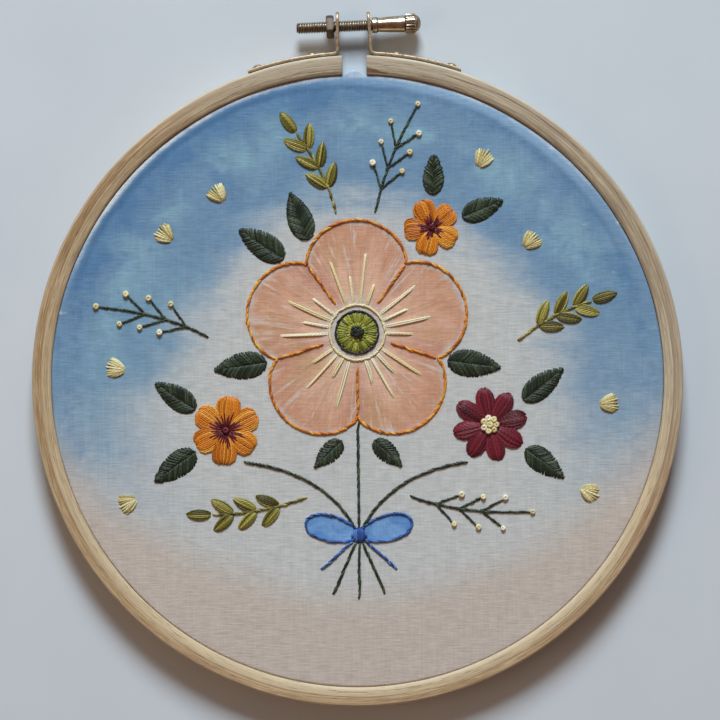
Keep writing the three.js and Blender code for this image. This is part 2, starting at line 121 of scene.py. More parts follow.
placeCamera()
for which, name in (("key", "window_light"), ("fill", "side_fill")):
    areaLight(name, *(studio[which + part] for part in ("Place", "Size", "Watts", "Colour")))
bpy.context.scene.view_settings.view_transform = "Standard"
print("camera and lights placed")


# One output socket of a node tree. Arithmetic on it adds Math nodes; node() adds any other kind.
class Wire:
    def __init__(self, tree, socket=None):
        self.tree = tree
        self.socket = socket

    # the wire from one output of a new node, whose settings are set before its inputs
    def node(self, kind, settings=None, inputs=None, out=0):
        made = self.tree.nodes.new("ShaderNode" + kind)
        for key, value in (settings or {}).items():
            setattr(made, key, value)
        for key, value in (inputs or {}).items():
            if isinstance(value, Wire):
                self.tree.links.new(value.socket, made.inputs[key])
            else:
                made.inputs[key].default_value = value
        return Wire(self.tree, made.outputs[out])

    def math(self, operation, *values):
        return self.node("Math", {"operation": operation}, dict(enumerate(values)))

    def __add__(self, other):
        return self.math("ADD", self, other)

    __radd__ = __add__

    def __sub__(self, other):
        return self.math("SUBTRACT", self, other)

    def __rsub__(self, other):
        return self.math("SUBTRACT", other, self)

    def __mul__(self, other):
        return self.math("MULTIPLY", self, other)

    __rmul__ = __mul__

    def __truediv__(self, other):
        return self.math("DIVIDE", self, other)

    def __rtruediv__(self, other):
        return self.math("DIVIDE", other, self)

    def __pow__(self, other):
        return self.math("POWER", self, other)

    def __abs__(self):
        return self.math("ABSOLUTE", self)

    def sine(self):
        return self.math("SINE", self)

    # 0 below low and 1 above high, eased in between; where low is the greater it falls instead
    def rises(self, low, high, ease="SMOOTHSTEP"):
        if low > high:
            return 1 - self.rises(high, low, ease)
        inputs = {"Value": self, "From Min": low, "From Max": high}
        return self.node("MapRange", {"interpolation_type": ease}, inputs)

    # 1 at a value, falling to 0 at half a width to either side
    def ridge(self, middle, half):
        return (1 - abs(self - middle) / half).rises(0, 1)

    def parts(self):
        split = self.node("SeparateXYZ", None, {0: self})
        return [Wire(self.tree, split.socket.node.outputs[axis]) for axis in "XYZ"]

    # fractal noise of a place, stretched by a scale for each axis
    def noise(self, scales, detail=3, roughness=0.55, distortion=0):
        place = self.node("VectorMath", {"operation": "MULTIPLY"}, {0: self, 1: scales})
        inputs = {"Vector": place, "Scale": 1, "Detail": detail}
        inputs.update({"Roughness": roughness, "Distortion": distortion})
        return self.node("TexNoise", None, inputs)

    def joined(self, x, y, z):
        return self.node("CombineXYZ", None, {0: x, 1: y, 2: z})

    # this share of the way from one colour to another
    def blend(self, low, high):
        return self.node("Mix", {"data_type": "RGBA"}, {0: self, 6: low, 7: high}, 2)

    def bump(self, strength, distance):
        inputs = {"Strength": strength, "Distance": distance * mm, "Height": self}
        return self.node("Bump", None, inputs)


# an empty tree and the place on the hoop in millimetres from its centre
def startFinish(name):
    material = bpy.data.materials.new(name)
    material.use_nodes = True
    material.node_tree.nodes.clear()
    wire = Wire(material.node_tree)
    place = wire.node("TexCoord", None, None, "Object")
    centred = wire.node("VectorMath", {"operation": "SUBTRACT"}, {0: place, 1: tuple(hoopPlace)})
    return material, wire.node("VectorMath", {"operation": "SCALE"}, {0: centred, "Scale": 1 / mm})


def endFinish(wire, inputs):
    shader = wire.node("BsdfPrincipled", None, inputs)
    output = wire.tree.nodes.new("ShaderNodeOutputMaterial")
    wire.tree.links.new(shader.socket, output.inputs["Surface"])


floorLook = {"pale": "bac3cc", "shade": "b0b9c3", "half": 1.6}  # half its side in metres


def floorFinish():
    material, place = startFinish("pale_floor")
    mottle = place.noise((0.02, 0.02, 0.02), 4)
    colour = mottle.blend(seen(floorLook["shade"]), seen(floorLook["pale"]))
    endFinish(place, {"Base Color": colour, "Roughness": 0.85})
    return material


def layFloor():
    half = floorLook["half"]
    mesh = bpy.data.meshes.new("floor")
    corners = [(-half, -half, 0), (half, -half, 0), (half, half, 0), (-half, half, 0)]
    mesh.from_pydata(corners, [], [(0, 1, 2, 3)])
    mesh.materials.append(floorFinish())
    floor = bpy.data.objects.new("floor", mesh)
    bpy.context.collection.objects.link(floor)


# The sky is brighter on the window's side, above the picture, and dim and warm below it.
def lightSky():
    world = bpy.data.worlds.new("soft_sky")
    bpy.context.scene.world = world
    world.use_nodes = True
    world.node_tree.nodes.clear()
    wire = Wire(world.node_tree)
    towardsWindow = wire.node("TexCoord", None, None, "Generated").parts()[1]
    colour = towardsWindow.rises(*studio["skyRise"]).blend(studio["skyDim"], studio["skyBright"])
    glow = wire.node("Background", None, {"Color": colour, "Strength": studio["skyStrength"]})
    output = wire.tree.nodes.new("ShaderNodeOutputWorld")
    wire.tree.links.new(glow.socket, output.inputs["Surface"])


layFloor()
lightSky()


# mesh helpers

# corner numbers of the quads on a grid, wrapped where the grid closes on itself
def gridFaces(rows, columns, closedRows=False, closedColumns=False):
    i = np.arange(rows if closedRows else rows - 1)[:, None]
    j = np.arange(columns if closedColumns else columns - 1)[None, :]
    below, beside = (i + 1) % rows, (j + 1) % columns
    quads = [i * columns + j, i * columns + beside, below * columns + beside, below * columns + j]
    return np.stack(quads, -1).reshape(-1, 4)


# rings of a tube joined by quads, with both ends drawn together at a pole; one block for each tube
def tubeFaces(tubes, rings, sides):
    body = gridFaces(rings, sides, closedColumns=True)
    first = np.arange(sides)
    second = (first + 1) % sides
    pole = np.full(sides, rings * sides)
    last = (rings - 1) * sides
    start = np.stack([second, first, pole], 1)
    end = np.stack([first + last, second + last, pole + 1], 1)
    block = np.arange(tubes)[:, None, None] * (rings * sides + 2)
    return [(body + block).reshape(-1, 4), (np.concatenate([start, end]) + block).reshape(-1, 3)]


# a tube's points in the order that tubeFaces counts them
def tubePoints(rings, startPole, endPole):
    tubes = len(rings)
    parts = [rings.reshape(tubes, -1, 3), startPole.reshape(tubes, 1, 3), endPole.reshape(tubes, 1, 3)]
    return np.concatenate(parts, 1).reshape(-1, 3)


# UV of tubes: the share round the tube, and the distance along it in millimetres
def tubeUv(along, sides):
    tubes, rings = along.shape
    share = np.arange(sides) / sides
    low, high = along[:, :-1, None], along[:, 1:, None]
    u = np.stack([share, share + 1 / sides, share + 1 / sides, share], -1)
    u = np.broadcast_to(u, (tubes, rings - 1, sides, 4))
    v = np.broadcast_to(np.stack([low, low, high, high], -1), (tubes, rings - 1, sides, 4))
    body = np.stack([u, v], -1).reshape(-1, 2)
    ends = np.zeros((tubes * 2 * sides * 3, 2))
    return np.concatenate([body, ends])


# signed volume of the faces as fans: positive when they point outwards
def signedVolume(points, faces):
    total = 0
    for block in faces:
        for k in range(1, block.shape[1] - 1):
            a, b, c = points[block[:, 0]], points[block[:, k]], points[block[:, k + 1]]
            total += np.einsum("ij,ij->", a, np.cross(b, c))
    return total


# rows of vectors, each made one long
def unit(rows):
    return rows / np.linalg.norm(rows, axis=-1, keepdims=True)


# angles of a full turn, in equal steps
def fullTurn(sides):
    return 2 * np.pi * np.arange(sides) / sides


# puts arrays into a mesh; pointing outwards is settled by the sign of the volume
def addPiece(name, points, faces, finish, slot, replaced=(), body="hoop", uv=None, shade=None, sharp=None):
    flip = signedVolume(points, faces) < 0
    if flip:
        faces = [block[:, ::-1] for block in faces]
    corners = np.concatenate([block.ravel() for block in faces])
    sizes = np.concatenate([np.full(len(block), block.shape[1]) for block in faces])
    mesh = bpy.data.meshes.new(name)
    mesh.vertices.add(len(points))
    mesh.vertices.foreach_set("co", (points * mm + hoopPlace).astype(np.float32).ravel())
    mesh.loops.add(len(corners))
    mesh.loops.foreach_set("vertex_index", corners.astype(np.int32))
    mesh.polygons.add(len(sizes))
    mesh.polygons.foreach_set("loop_start", (np.cumsum(sizes) - sizes).astype(np.int32))
    mesh.polygons.foreach_set("use_smooth", np.ones(len(sizes), bool))
    if uv is not None:
        quads = len(faces[0]) * 4
        if flip:
            uv = np.concatenate([uv[:quads].reshape(-1, 4, 2)[:, ::-1].reshape(-1, 2), uv[quads:]])
        mesh.uv_layers.new(name="UVMap").uv.foreach_set("vector", uv.astype(np.float32).ravel())
    if shade is not None:
        mesh.attributes.new("shade", "FLOAT", "POINT").data.foreach_set("value", shade.astype(np.float32))
    mesh.update(calc_edges=True)
    if sharp:
        mesh.set_sharp_from_angle(angle=math.radians(sharp))
    mesh.materials.append(finish)
    piece = bpy.data.objects.new(name, mesh)
    bpy.context.collection.objects.link(piece)
    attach(piece, body)
    if replaced:
        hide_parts(*replaced)
    return piece


# A rectangle whose corners are quarter ellipses, as (outwards, upwards), drawn in by inset. rounds holds
# (across, high) for the outer foot, outer brow, inner brow and inner foot in turn; none falls below least.
def roundedSection(low, high, bottom, top, rounds, inset=0.0, perCorner=6, least=0.02):
    quarter = np.linspace(0, np.pi / 2, perCorner)
    corners = [(high, bottom), (high, top), (low, top), (low, bottom)]
    outline = []
    for turn, ((x, y), (across, up)) in enumerate(zip(corners, rounds)):
        angle = quarter + (turn - 1) * np.pi / 2
        centreX = x - np.sign(x - (low + high) / 2) * across
        centreY = y - np.sign(y - (bottom + top) / 2) * up
        bendX, bendY = max(across - inset, least), max(up - inset, least)
        outline.append(np.stack([centreX + bendX * np.cos(angle), centreY + bendY * np.sin(angle)], -1))
    return np.concatenate(outline)


# wood

wood = {
    "pale": "c0ad8c", "tan": "836848", "innerPly": "bdaf95", "outerPly": "93765a", "fibreAndShade": "5c4229",
    "glue": "5d4632", "rubbedAndLit": "bfb39f", "flare": "cdbd9f", "chipAndShade": "6b4f37", "faded": "959f9b",
    "glueLine": 98.3, "faintLine": 96.7,  # radius of the lines between the plies
    "chipLong": 7.5, "chipHigh": 2.1,
}
outerRing = {
    "slit": 7.5, "endEdge": 0.3, "steps": 360, "perCorner": 8, "sharp": 45,
    "sway": 0.06, "waves": ((1, 3, 1), (0.6, 7, 0)),  # it is bent a little out of round
    "rounds": [(2.2, 2.2), (0.8, 1.0), (3.0, 0.9), (0.6, 0.6)],  # a crowned front that slopes in to the cloth
}
innerRing = {"width": 5, "edge": 0.7, "steps": 256, "sharp": 45}


# Grain runs round the hoop: noise of (distance round, radius, height), drawn out along the distance.
# The ring is bent from plies, so a paler one inside meets a browner one at a glue line that comes and goes.
def woodFinish(name, withChip):
    material, place = startFinish(name)
    x, y, z = place.parts()
    radius = (x * x + y * y) ** 0.5
    around = x.math("ARCTAN2", x, y * -1) * ringOutside  # from the foot, so that the grain parts at the slit
    run = place.joined(around, radius, z)
    broad = run.noise((0.014, 0.3, 0.3), 4, 0.6, 0.4)
    streak = run.noise((0.05, 1.9, 1.9), 5, 0.7, 0.5)
    fine = run.noise((0.2, 7, 7), 3, 0.6)
    dash = run.noise((0.16, 3.6, 3.6), 2, 0.5).rises(0.58, 0.7)  # short dark fibres
    flare = run.noise((0.1, 2.6, 2.9), 3, 0.6).rises(0.55, 0.7)  # and pale ones
    paler = (x * 0.15 - y + broad * 40).rises(-60, 95)  # the strip's middle is paler wood than its two ends
    worn = y.rises(58, 98)  # handled most beside the screw, so it is rougher there
    faded = (x * 0.8 + y).rises(20, 90)  # greyed by light at the upper right
    browner = (y - x).rises(60, 115)  # and browner at the upper left
    contrast = 0.85 + worn * 0.7 + faded * 0.45
    figure = broad * 0.4 + (streak - 0.5) * contrast + fine * 0.45 - paler * 0.12 + browner * 0.03 + 0.52
    colour = figure.rises(0.66, 1.06).blend(seen(wood["pale"]), seen(wood["tan"]))
    colour = (flare * 0.5).blend(colour, seen(wood["flare"]))

    swell = run.noise((0.011, 0, 0), 2).rises(0.32, 0.62)  # where the plies show most
    line = radius + (run.noise((0.03, 0.2, 0.2), 3) - 0.5) * 0.9
    outerPly = (line - wood["glueLine"]).rises(-0.15, 0.15)
    patchy = 0.35 + streak.rises(0.36, 0.64)
    # painted shade: the pale inner ply is toned down at the lower right, on the slope down to the cloth
    lowRightShade = x.rises(50, 95) * y.rises(-75, -30)
    inner = (1 - outerPly) * (0.05 + paler * 0.35 + swell * 0.25) * (1 - lowRightShade * 0.5)
    colour = inner.blend(colour, seen(wood["innerPly"]))
    leftSide, rightSide = x.rises(-40, -95), x.rises(20, 90)
    darker = outerPly * (0.12 + swell * 0.45 + rightSide * 0.28) * (1 - leftSide * 0.75)
    colour = (darker * patchy).blend(colour, seen(wood["outerPly"]))
    glue = line.ridge(wood["glueLine"], 0.2) * swell
    glue = glue + line.ridge(wood["faintLine"], 0.15) * (1 - swell) * 0.5
    colour = (glue * (0.55 + y.rises(-70, -100) * 0.4)).blend(colour, seen(wood["glue"]))
    # fibres torn up beside the slit, edges worn pale, a painted highlight on the inner brow at the bottom
    torn = run.noise((0.08, 1.5, 1.5), 4, 0.65, 0.9).rises(0.53, 0.64) * y.rises(84, 96)
    colour = (dash * 0.55 + torn * 0.5).rises(0, 1).blend(colour, seen(wood["fibreAndShade"]))
    rubAndSheen = radius.rises(ringOutside - 1.3, ringOutside - 0.2) * z.rises(6, 9) * 0.45
    # painted highlight: the inner brow is paler at the bottom, where it faces the light
    rubAndSheen = rubAndSheen + radius.rises(ringInside + 1.7, ringInside + 0.7) * (x * 0.5 - y).rises(60, 100) * 0.5
    rubAndSheen = rubAndSheen + worn * radius.rises(ringInside + 1, ringInside + 3) * 0.42
    colour = (rubAndSheen * patchy).rises(0, 1).blend(colour, seen(wood["rubbedAndLit"]))
    colour = (faded * 0.26).blend(colour, seen(wood["faded"]))
    # painted shade along the inner edge at the upper right, where the ring meets the cloth
    innerEdgeShade = radius.rises(ringInside + 2.4, ringInside + 0.8) * x.rises(15, 50) * y.rises(5, 40)
    colour = (innerEdgeShade * patchy * 0.3).rises(0, 1).blend(colour, seen(wood["fibreAndShade"]))
    wander = (run.noise((0.02, 0, 0), 3, 0.6) - 0.5) * 4
    vein = (radius + wander).ridge(ringOutside - 2, 0.55) * patchy * x.rises(0, 35) * y.rises(0, 45)
    colour = (vein * 0.55).rises(0, 1).blend(colour, seen(wood["fibreAndShade"]))  # one dark grain line on the right
    height = streak * 0.8 + fine * 0.5 - dash * 0.9 - glue * 1.3 - torn * 0.8 - vein * 0.5
    if withChip:  # a ply has broken away at the inner corner of the right-hand end
        fromEnd = x - outerRing["slit"] / 2
        reach = (1 - fromEnd / wood["chipLong"]) * wood["chipHigh"] + (streak - 0.5) * 1.2
        inward = radius - ringInside
        chipAndShade = (reach - inward + 0.45).rises(0, 0.45) * inward.rises(0.3, 0.6) * z.rises(6.5, 8)
        chipAndShade = chipAndShade * y.rises(90, 91) * fromEnd.rises(-0.3, 0)
        # the chip is painted dark, for the bared wood and the painted shade in its notch
        colour = (chipAndShade * (0.6 + fine * 0.5)).blend(colour, seen(wood["chipAndShade"]))
        height = height - chipAndShade * 2
    inputs = {
        "Base Color": colour,
        "Roughness": 0.48 + fine * 0.24,
        "Normal": height.bump(0.4, 0.16),
        "Specular IOR Level": 0.35,
    }
    endFinish(place, inputs)
    return material


# The section is carried round from one end of the slit to the other. The ends lie in planes beside the slit,
# so each radius starts at its own angle: half the slit over the radius is that angle's sine.
def makeOuterRing():
    soft = outerRing["endEdge"]
    step = soft / (2 * np.pi * ringOutside)
    part = 0.3  # the end's edge is broken in two steps, of this share and the rest
    first, last = [0, step * part, step], [1 - step, 1 - step * part, 1]
    share = np.concatenate([first, np.linspace(0, 1, outerRing["steps"])[2:-2], last])
    drawn = np.zeros((len(share), 1, 1))
    drawn[[0, -1]] = 1
    drawn[[1, -2]] = part
    box = ringInside, ringOutside, 0, ringDepth
    whole = roundedSection(*box, outerRing["rounds"], 0, outerRing["perCorner"])
    drawnIn = roundedSection(*box, outerRing["rounds"], soft, outerRing["perCorner"])
    section = whole + (drawnIn - whole) * drawn
    radius, height = section[..., 0], section[..., 1]
    start = np.arcsin(outerRing["slit"] / 2 / radius)
    angle = np.pi / 2 + start + share[:, None] * (2 * np.pi - 2 * start)
    wave = sum(size * np.sin(times * angle + shift) for size, times, shift in outerRing["waves"])
    radius = radius + outerRing["sway"] * wave * np.sin(np.pi * share)[:, None]
    points = np.stack([radius * np.cos(angle), radius * np.sin(angle), height], -1)
    rows, columns = radius.shape
    startCap = np.arange(columns)[::-1][None, :]
    endCap = np.arange(columns)[None, :] + (rows - 1) * columns
    faces = [gridFaces(rows, columns, closedColumns=True), np.concatenate([startCap, endCap])]
    points, finish = points.reshape(-1, 3), woodFinish("outer_ring_wood", True)
    addPiece("wood_outer_ring", points, faces, finish, "wood", ["outer_ring"], sharp=outerRing["sharp"])


# A rounded rectangle turned round the hoop's axis.
def makeInnerRing():
    inside = innerOutside - innerRing["width"]
    edges = [(innerRing["edge"], innerRing["edge"])] * 4
    section = roundedSection(inside, gripInside - touching, 0, innerDepth, edges)
    angle = fullTurn(innerRing["steps"])[:, None]
    radius, height = section[:, 0] + 0 * angle, section[:, 1] + 0 * angle
    points = np.stack([radius * np.cos(angle), radius * np.sin(angle), height], -1)
    faces = [gridFaces(*radius.shape, closedRows=True, closedColumns=True)]
    points, finish = points.reshape(-1, 3), woodFinish("inner_ring_wood", False)
    addPiece("wood_inner_ring", points, faces, finish, "wood", ["inner_ring"], sharp=innerRing["sharp"])


makeOuterRing()
makeInnerRing()
print("rings turned")


# cloth

bloom = {
    "x": 0, "y": 15, "radius": 35, "petals": 5, "turn": 90, "notch": 0.26, "eye": 6.6, "ring": 8.6,
    "ribGap": 2.4, "ribRope": 0.9, "ringRope": 0.85, "lobe": 0.7,
}
tie = {"x": 0, "y": -48, "gap": 2.365, "foot": 20}  # the stems start this far from its middle
bow = {
    "loop": 17, "loopWidth": 9, "loopAim": 14, "loopRope": 0.9,
    "loopFat": 0.47, "loopFoot": 0.75, "loopSwell": 0.35,
    "tail": 16, "tailAim": 318, "tailStart": 1.5, "tailRope": 0.95,
    "knot": 5, "knotWide": 0.42, "knotStitches": 8, "knotThread": 0.8, "knotRise": 0.75, "knotBow": 0.1,
    "knotRound": 1.05,
}

cloth = {
    "edge": 0.65, "edgeSteps": 8, "faceSteps": 62, "skirtSteps": 9, "sides": 400, "gatherToSlit": 0.8,
    "puckerHalf": 3.7, "puckerOut": 1.5, "puckerFrom": 88, "puckerDown": 6,
    "puckerPower": 0.9, "puckerEase": 3,
    "ripple": 0.1, "ripples": 19, "ripplePower": 16, "rippleSway": (2, 4),
    "dip": 0.5, "dipPower": 30,  # the rim dips below the ring near the top
    "threadsApart": 0.42, "sharp": 60,
}
paint = {
    "white": "b0b4b6", "sky": "6786a4", "paleSky": "809bb0", "teal": "789cb0", "deepSky": "50759b",
    "sand": "b0a7a0", "bare": "bac3cb", "pool": "3c6086", "rimSky": "86a6c6",
    "peach": "b58569", "palePeach": "cba58e", "rose": "a9766a", "clay": "a06a4b", "chalk": "c4b9b1",
    "ochre": "ab8a60", "ribbon": "4d7ab4", "paleRibbon": "7099c8",
}


# half a bow loop's width, in shares of loopWidth, at a share of its length and the sine that goes with it
def loopHalf(along, sine):
    return bow["loopFat"] * sine * (bow["loopFoot"] + bow["loopSwell"] * along)


# The paint is worked out in the plane of the cloth: blue above, sand below, a peach bloom and a blue bow.
# The bloom's edge is radius times (1 - notch times (1 - lobe)), where the lobe is a cosine to the power 0.7.
# The sine of a bow loop at a share of its length is 2 sqrt(share (1 - share)).
def cottonFinish():
    material, place = startFinish("painted_cotton")
    x, y = place.parts()[:2]
    radius = (x * x + y * y) ** 0.5
    flat = place.joined(x, y, 0)
    broad = flat.noise((0.018, 0.018, 1), 4, 0.55) - 0.5
    brush = flat.noise((0.02, 0.07, 1), 4, 0.6, 0.6) - 0.5
    dab = flat.noise((0.11, 0.11, 1), 4, 0.62, 1) - 0.5
    fine = flat.noise((0.3, 0.3, 1), 4, 0.65) - 0.5
    slub = flat.noise((0.2, 2.1, 1), 4, 0.65) - 0.5
    warp = flat.noise((1.6, 0.06, 1), 3, 0.6) - 0.5

    # the wash is strongest near the top and the rim, deep to the upper left, pooled and lifted in places
    nearRim = radius - 80
    upper = (y - x * 0.08 + nearRim * 0.5 + broad * 24 + brush * 6).rises(-60, 34, "LINEAR")
    outward = (radius + broad * 30 + brush * 22).rises(36, 78)
    blue = upper * outward
    deep = (y * 0.8 - x * 0.55 + broad * 30).rises(52, 92) * radius.rises(66, 92)
    pooled = (radius + brush * 9).ridge(89, 5) * dab.rises(-0.1, 0.12)
    lifted = (radius + broad * 20).ridge(79, 6) * dab.rises(0.12, -0.1) * (1 - deep)
    colour = (blue * 1.05).rises(0, 1).blend(seen(paint["white"]), seen(paint["paleSky"]))
    colour = (blue + brush * 0.4 + dab * 0.35 - 0.2).rises(0, 0.7).blend(colour, seen(paint["sky"]))
    puddle = flat.noise((0.045, 0.06, 1), 4, 0.6, 0.8).rises(0.48, 0.66) * outward
    colour = ((pooled * 0.7 + puddle * 0.6 + deep) * blue).rises(0, 1.3).blend(colour, seen(paint["deepSky"]))
    thin = flat.noise((0.03, 0.036, 1), 3, 0.55, 0.6).rises(0.44, 0.62) * (1 - nearRim.rises(2, 12) * 0.7)
    colour = ((lifted * 0.5 + thin * 0.6) * blue).rises(0, 1.1).blend(colour, seen(paint["teal"]))
    ground = (nearRim * 1.6 - y + broad * 30 + brush * 12).rises(25, 66)
    colour = (ground * 0.95).blend(colour, seen(paint["sand"]))

    # the bloom: polar coordinates about its centre, turned so that a petal's middle is a whole number
    bloomX, bloomY = x - bloom["x"], y - bloom["y"]
    reach = (bloomX * bloomX + bloomY * bloomY) ** 0.5
    turn = x.math("ARCTAN2", bloomX, bloomY) * (bloom["petals"] / (2 * math.pi))
    offset = turn - turn.math("ROUND", turn)
    lobe = abs((offset * math.pi).math("COSINE", offset * math.pi)) ** bloom["lobe"]
    edge = bloom["radius"] * (1 - bloom["notch"] * (1 - lobe))
    depth = reach / edge
    streak = place.joined(turn * 22, reach * 0.07, 0).noise((1, 1, 1), 5, 0.7, 0.4) - 0.5
    stroke = place.joined(turn * 7, reach * 0.05, 3).noise((1, 1, 1), 3, 0.6, 0.8) - 0.5
    warmth = (depth + streak * 0.9 + stroke * 1.6 + dab * 0.6).rises(0.25, 0.95)
    peach = warmth.blend(seen(paint["palePeach"]), seen(paint["peach"]))
    shaded = abs(offset).rises(0.24, 0.5) * 0.5 + dab * 0.7 + streak * 0.5 - stroke * 1.2
    peach = shaded.rises(0, 1).blend(peach, seen(paint["rose"]))
    patch = flat.noise((0.05, 0.05, 1), 3, 0.5, 0.5).rises(0.5, 0.7)
    peach = (patch * 0.6).blend(peach, seen(paint["ochre"]))
    peach = (streak.rises(-0.02, -0.2) * 0.6).blend(peach, seen(paint["clay"]))
    peach = ((streak + stroke * 0.6).rises(0.02, 0.2) * 0.7).blend(peach, seen(paint["chalk"]))
    inside = (edge - reach + brush * 8 + dab * 6).rises(-1.6, 2.4)
    colour = (inside * (0.93 - (1 - depth.rises(0.18, 0.42)) * 0.75)).blend(colour, peach)

    # the bow's two loops mirror each other
    aside, above = abs(x - tie["x"]), y - tie["y"]
    lean = math.radians(bow["loopAim"])
    share = ((aside * math.cos(lean) + above * math.sin(lean)) / bow["loop"]).rises(0, 1, "LINEAR")
    across = abs(above * math.cos(lean) - aside * math.sin(lean)) / bow["loopWidth"]
    loop = loopHalf(share, (share * (1 - share)) ** 0.5 * 2) - across
    ribbon = (dab * 2.5 + brush + 0.5).rises(0, 1).blend(seen(paint["ribbon"]), seen(paint["paleRibbon"]))
    colour = loop.rises(0, 0.04).blend(colour, ribbon)

    # round the top the wet paint gathered in a line inside the rim, with a paler tide outside it on the right
    fromRim = gripOutside - radius + fine * 1.2 + brush * 2
    right, top = x.rises(-30, 25), y.rises(14, 56)
    pool = (fromRim - right * 1.7).ridge(2.9, 1.9) * top * (0.75 - right * 0.45)
    colour = pool.blend(colour, seen(paint["pool"]))
    tide = fromRim.rises(4.4, 2.2) * right * top * x.rises(86, 58) * 0.48
    colour = tide.blend(colour, seen(paint["rimSky"]))

    # bare cotton shows at the rim near the top, less in the pucker, in a few scuffs and on the back
    bare = fromRim.rises(2.3, 0.4) * top * (0.36 + dab.rises(-0.15, 0.1) * 0.3 + x.rises(-5, -45) * 0.24)
    bare = bare * (0.8 + 0.2 * abs(x).rises(3, 14)) * (1 - x.rises(45, 85) * 0.5)
    facing = x.node("NewGeometry", None, None, "Normal").parts()[2]
    bare = bare + facing.rises(-0.2, -0.5) * 0.55
    scuff = flat.noise((0.09, 0.2, 1), 4, 0.6).rises(0.64, 0.78) * radius.rises(74, 84) * y.rises(-5, 30)
    colour = (bare + scuff * 0.6).rises(0, 1).blend(colour, seen(paint["bare"]))
    tone = 1 + slub * 0.74 + warp * 0.24 + fine * 0.32
    colour = x.node("VectorMath", {"operation": "SCALE"}, {0: colour, "Scale": tone})

    threads = 2 * math.pi / cloth["threadsApart"]
    weave = (x * threads).sine() * (y * threads).sine() * 0.35 + slub * 1.6 + warp * 0.8 + fine * 0.5
    inputs = {
        "Base Color": colour,
        "Roughness": 0.9,
        "Normal": weave.bump(0.6, 0.09),
        "Sheen Weight": 0.12,
        "Specular IOR Level": 0.2,
    }
    endFinish(place, inputs)
    return material


# The sheet is one closed surface: out over the face, round the edge, down the skirt and back underneath.
# The pucker pushes the edge outwards by a bell, half of (1 + cos x), less and less towards the skirt's foot.
# The rim ripples by a sine of 19 times the angle and dips by the angle's own sine. Both fade towards the
# middle as high powers of the radius, and down the skirt in a straight line.
def makeCloth():
    bend, skin = cloth["edge"], clothSkin
    faceEnd = gripOutside - bend
    quarter = np.linspace(np.pi / 2, 0, cloth["edgeSteps"])
    faceRun = np.linspace(0, faceEnd, cloth["faceSteps"])[1:-1]
    skirt = np.linspace(clothFace - bend, clothTrim, cloth["skirtSteps"])[1:]

    def side(roll, face, grip):
        radius = np.concatenate([faceRun, faceEnd + roll * np.cos(quarter), np.full(len(skirt), grip)])
        rolled = clothFace - bend + roll * np.sin(quarter)
        return radius, np.concatenate([np.full(len(faceRun), face), rolled, skirt])

    outerR, outerZ = side(bend, clothFace, gripOutside)
    innerR, innerZ = side(bend - skin, clothFace - skin, gripInside)
    radius = np.concatenate([outerR, innerR[::-1]])[:, None]
    height = np.concatenate([outerZ, innerZ[::-1]])[:, None]
    turn = fullTurn(cloth["sides"])
    angle = (np.pi / 2 + turn - cloth["gatherToSlit"] * np.sin(turn))[None, :]  # closer together at the slit
    fromMiddle = np.clip(radius * np.cos(angle) / cloth["puckerHalf"], -1, 1)
    bell = (1 + np.cos(np.pi * fromMiddle)) / 2 * (np.sin(angle) > 0)
    near = np.clip((radius - cloth["puckerFrom"]) / (faceEnd - cloth["puckerFrom"]), 0, 1)
    foot = np.clip((height - clothTrim) / cloth["puckerDown"], 0, 1)
    out = cloth["puckerOut"] * bell ** cloth["puckerPower"] * near ** cloth["puckerEase"] * foot
    size, times = cloth["rippleSway"]
    ripple = np.sin(cloth["ripples"] * angle + size * np.sin(times * angle))
    ripple = cloth["ripple"] * (radius / gripOutside) ** cloth["ripplePower"] * ripple
    dip = cloth["dip"] * (radius / gripOutside) ** cloth["dipPower"] * np.maximum(np.sin(angle), 0)
    lift = (ripple - dip) * np.clip((height - clothTrim) / (clothFace - bend - clothTrim), 0, 1)
    rings = np.stack([(radius + out) * np.cos(angle), (radius + out) * np.sin(angle), height + lift], -1)
    poles = np.array([[0, 0, clothFace], [0, 0, clothFace - skin]])
    points = tubePoints(rings[None], poles[:1], poles[1:])
    faces = tubeFaces(1, len(radius), cloth["sides"])
    finish = cottonFinish()
    return addPiece("painted_cloth", points, faces, finish, "cotton", ["ground_cloth"], sharp=cloth["sharp"])


painted = makeCloth()
print("cloth stretched")


# brass

brass = {
    "bright": (0.7, 0.64, 0.5, 1), "warm": (0.5, 0.385, 0.265, 1), "tarnish": (0.18, 0.145, 0.115, 1),
    "edge": (0.5, 0.44, 0.35, 1),  # how it mirrors what it sees at a slant
}


# Worn plate: bright metal with warmer clouds, tarnish in patches and grooves, and fine rubbing marks.
def brassFinish(name, wear, dull, dents):
    material, place = startFinish(name)
    groove = place.node("Attribute", {"attribute_name": "shade"}, None, "Fac")
    cloud = place.noise((0.45, 0.45, 0.45), 4, 0.6)
    spot = place.noise((1.4, 1.4, 1.4), 4, 0.65)
    rubAndSheen = place.noise((6, 1.2, 6), 3, 0.6)
    colour = (cloud + wear * 0.22).rises(0.4, 0.68).blend(brass["bright"], brass["warm"])
    colour = (spot.rises(0.5, 0.68) * wear + groove * 0.9).rises(0, 1).blend(colour, brass["tarnish"])
    inputs = {
        "Base Color": colour,
        "Metallic": 1.0,
        "Roughness": dull + rubAndSheen * 0.2 + spot.rises(0.5, 0.72) * wear * 0.2 + groove * 0.3,
        "Normal": (rubAndSheen + cloud * 0.5).bump(dents, 0.05),
        "Specular Tint": brass["edge"],
    }
    endFinish(place, inputs)
    return material


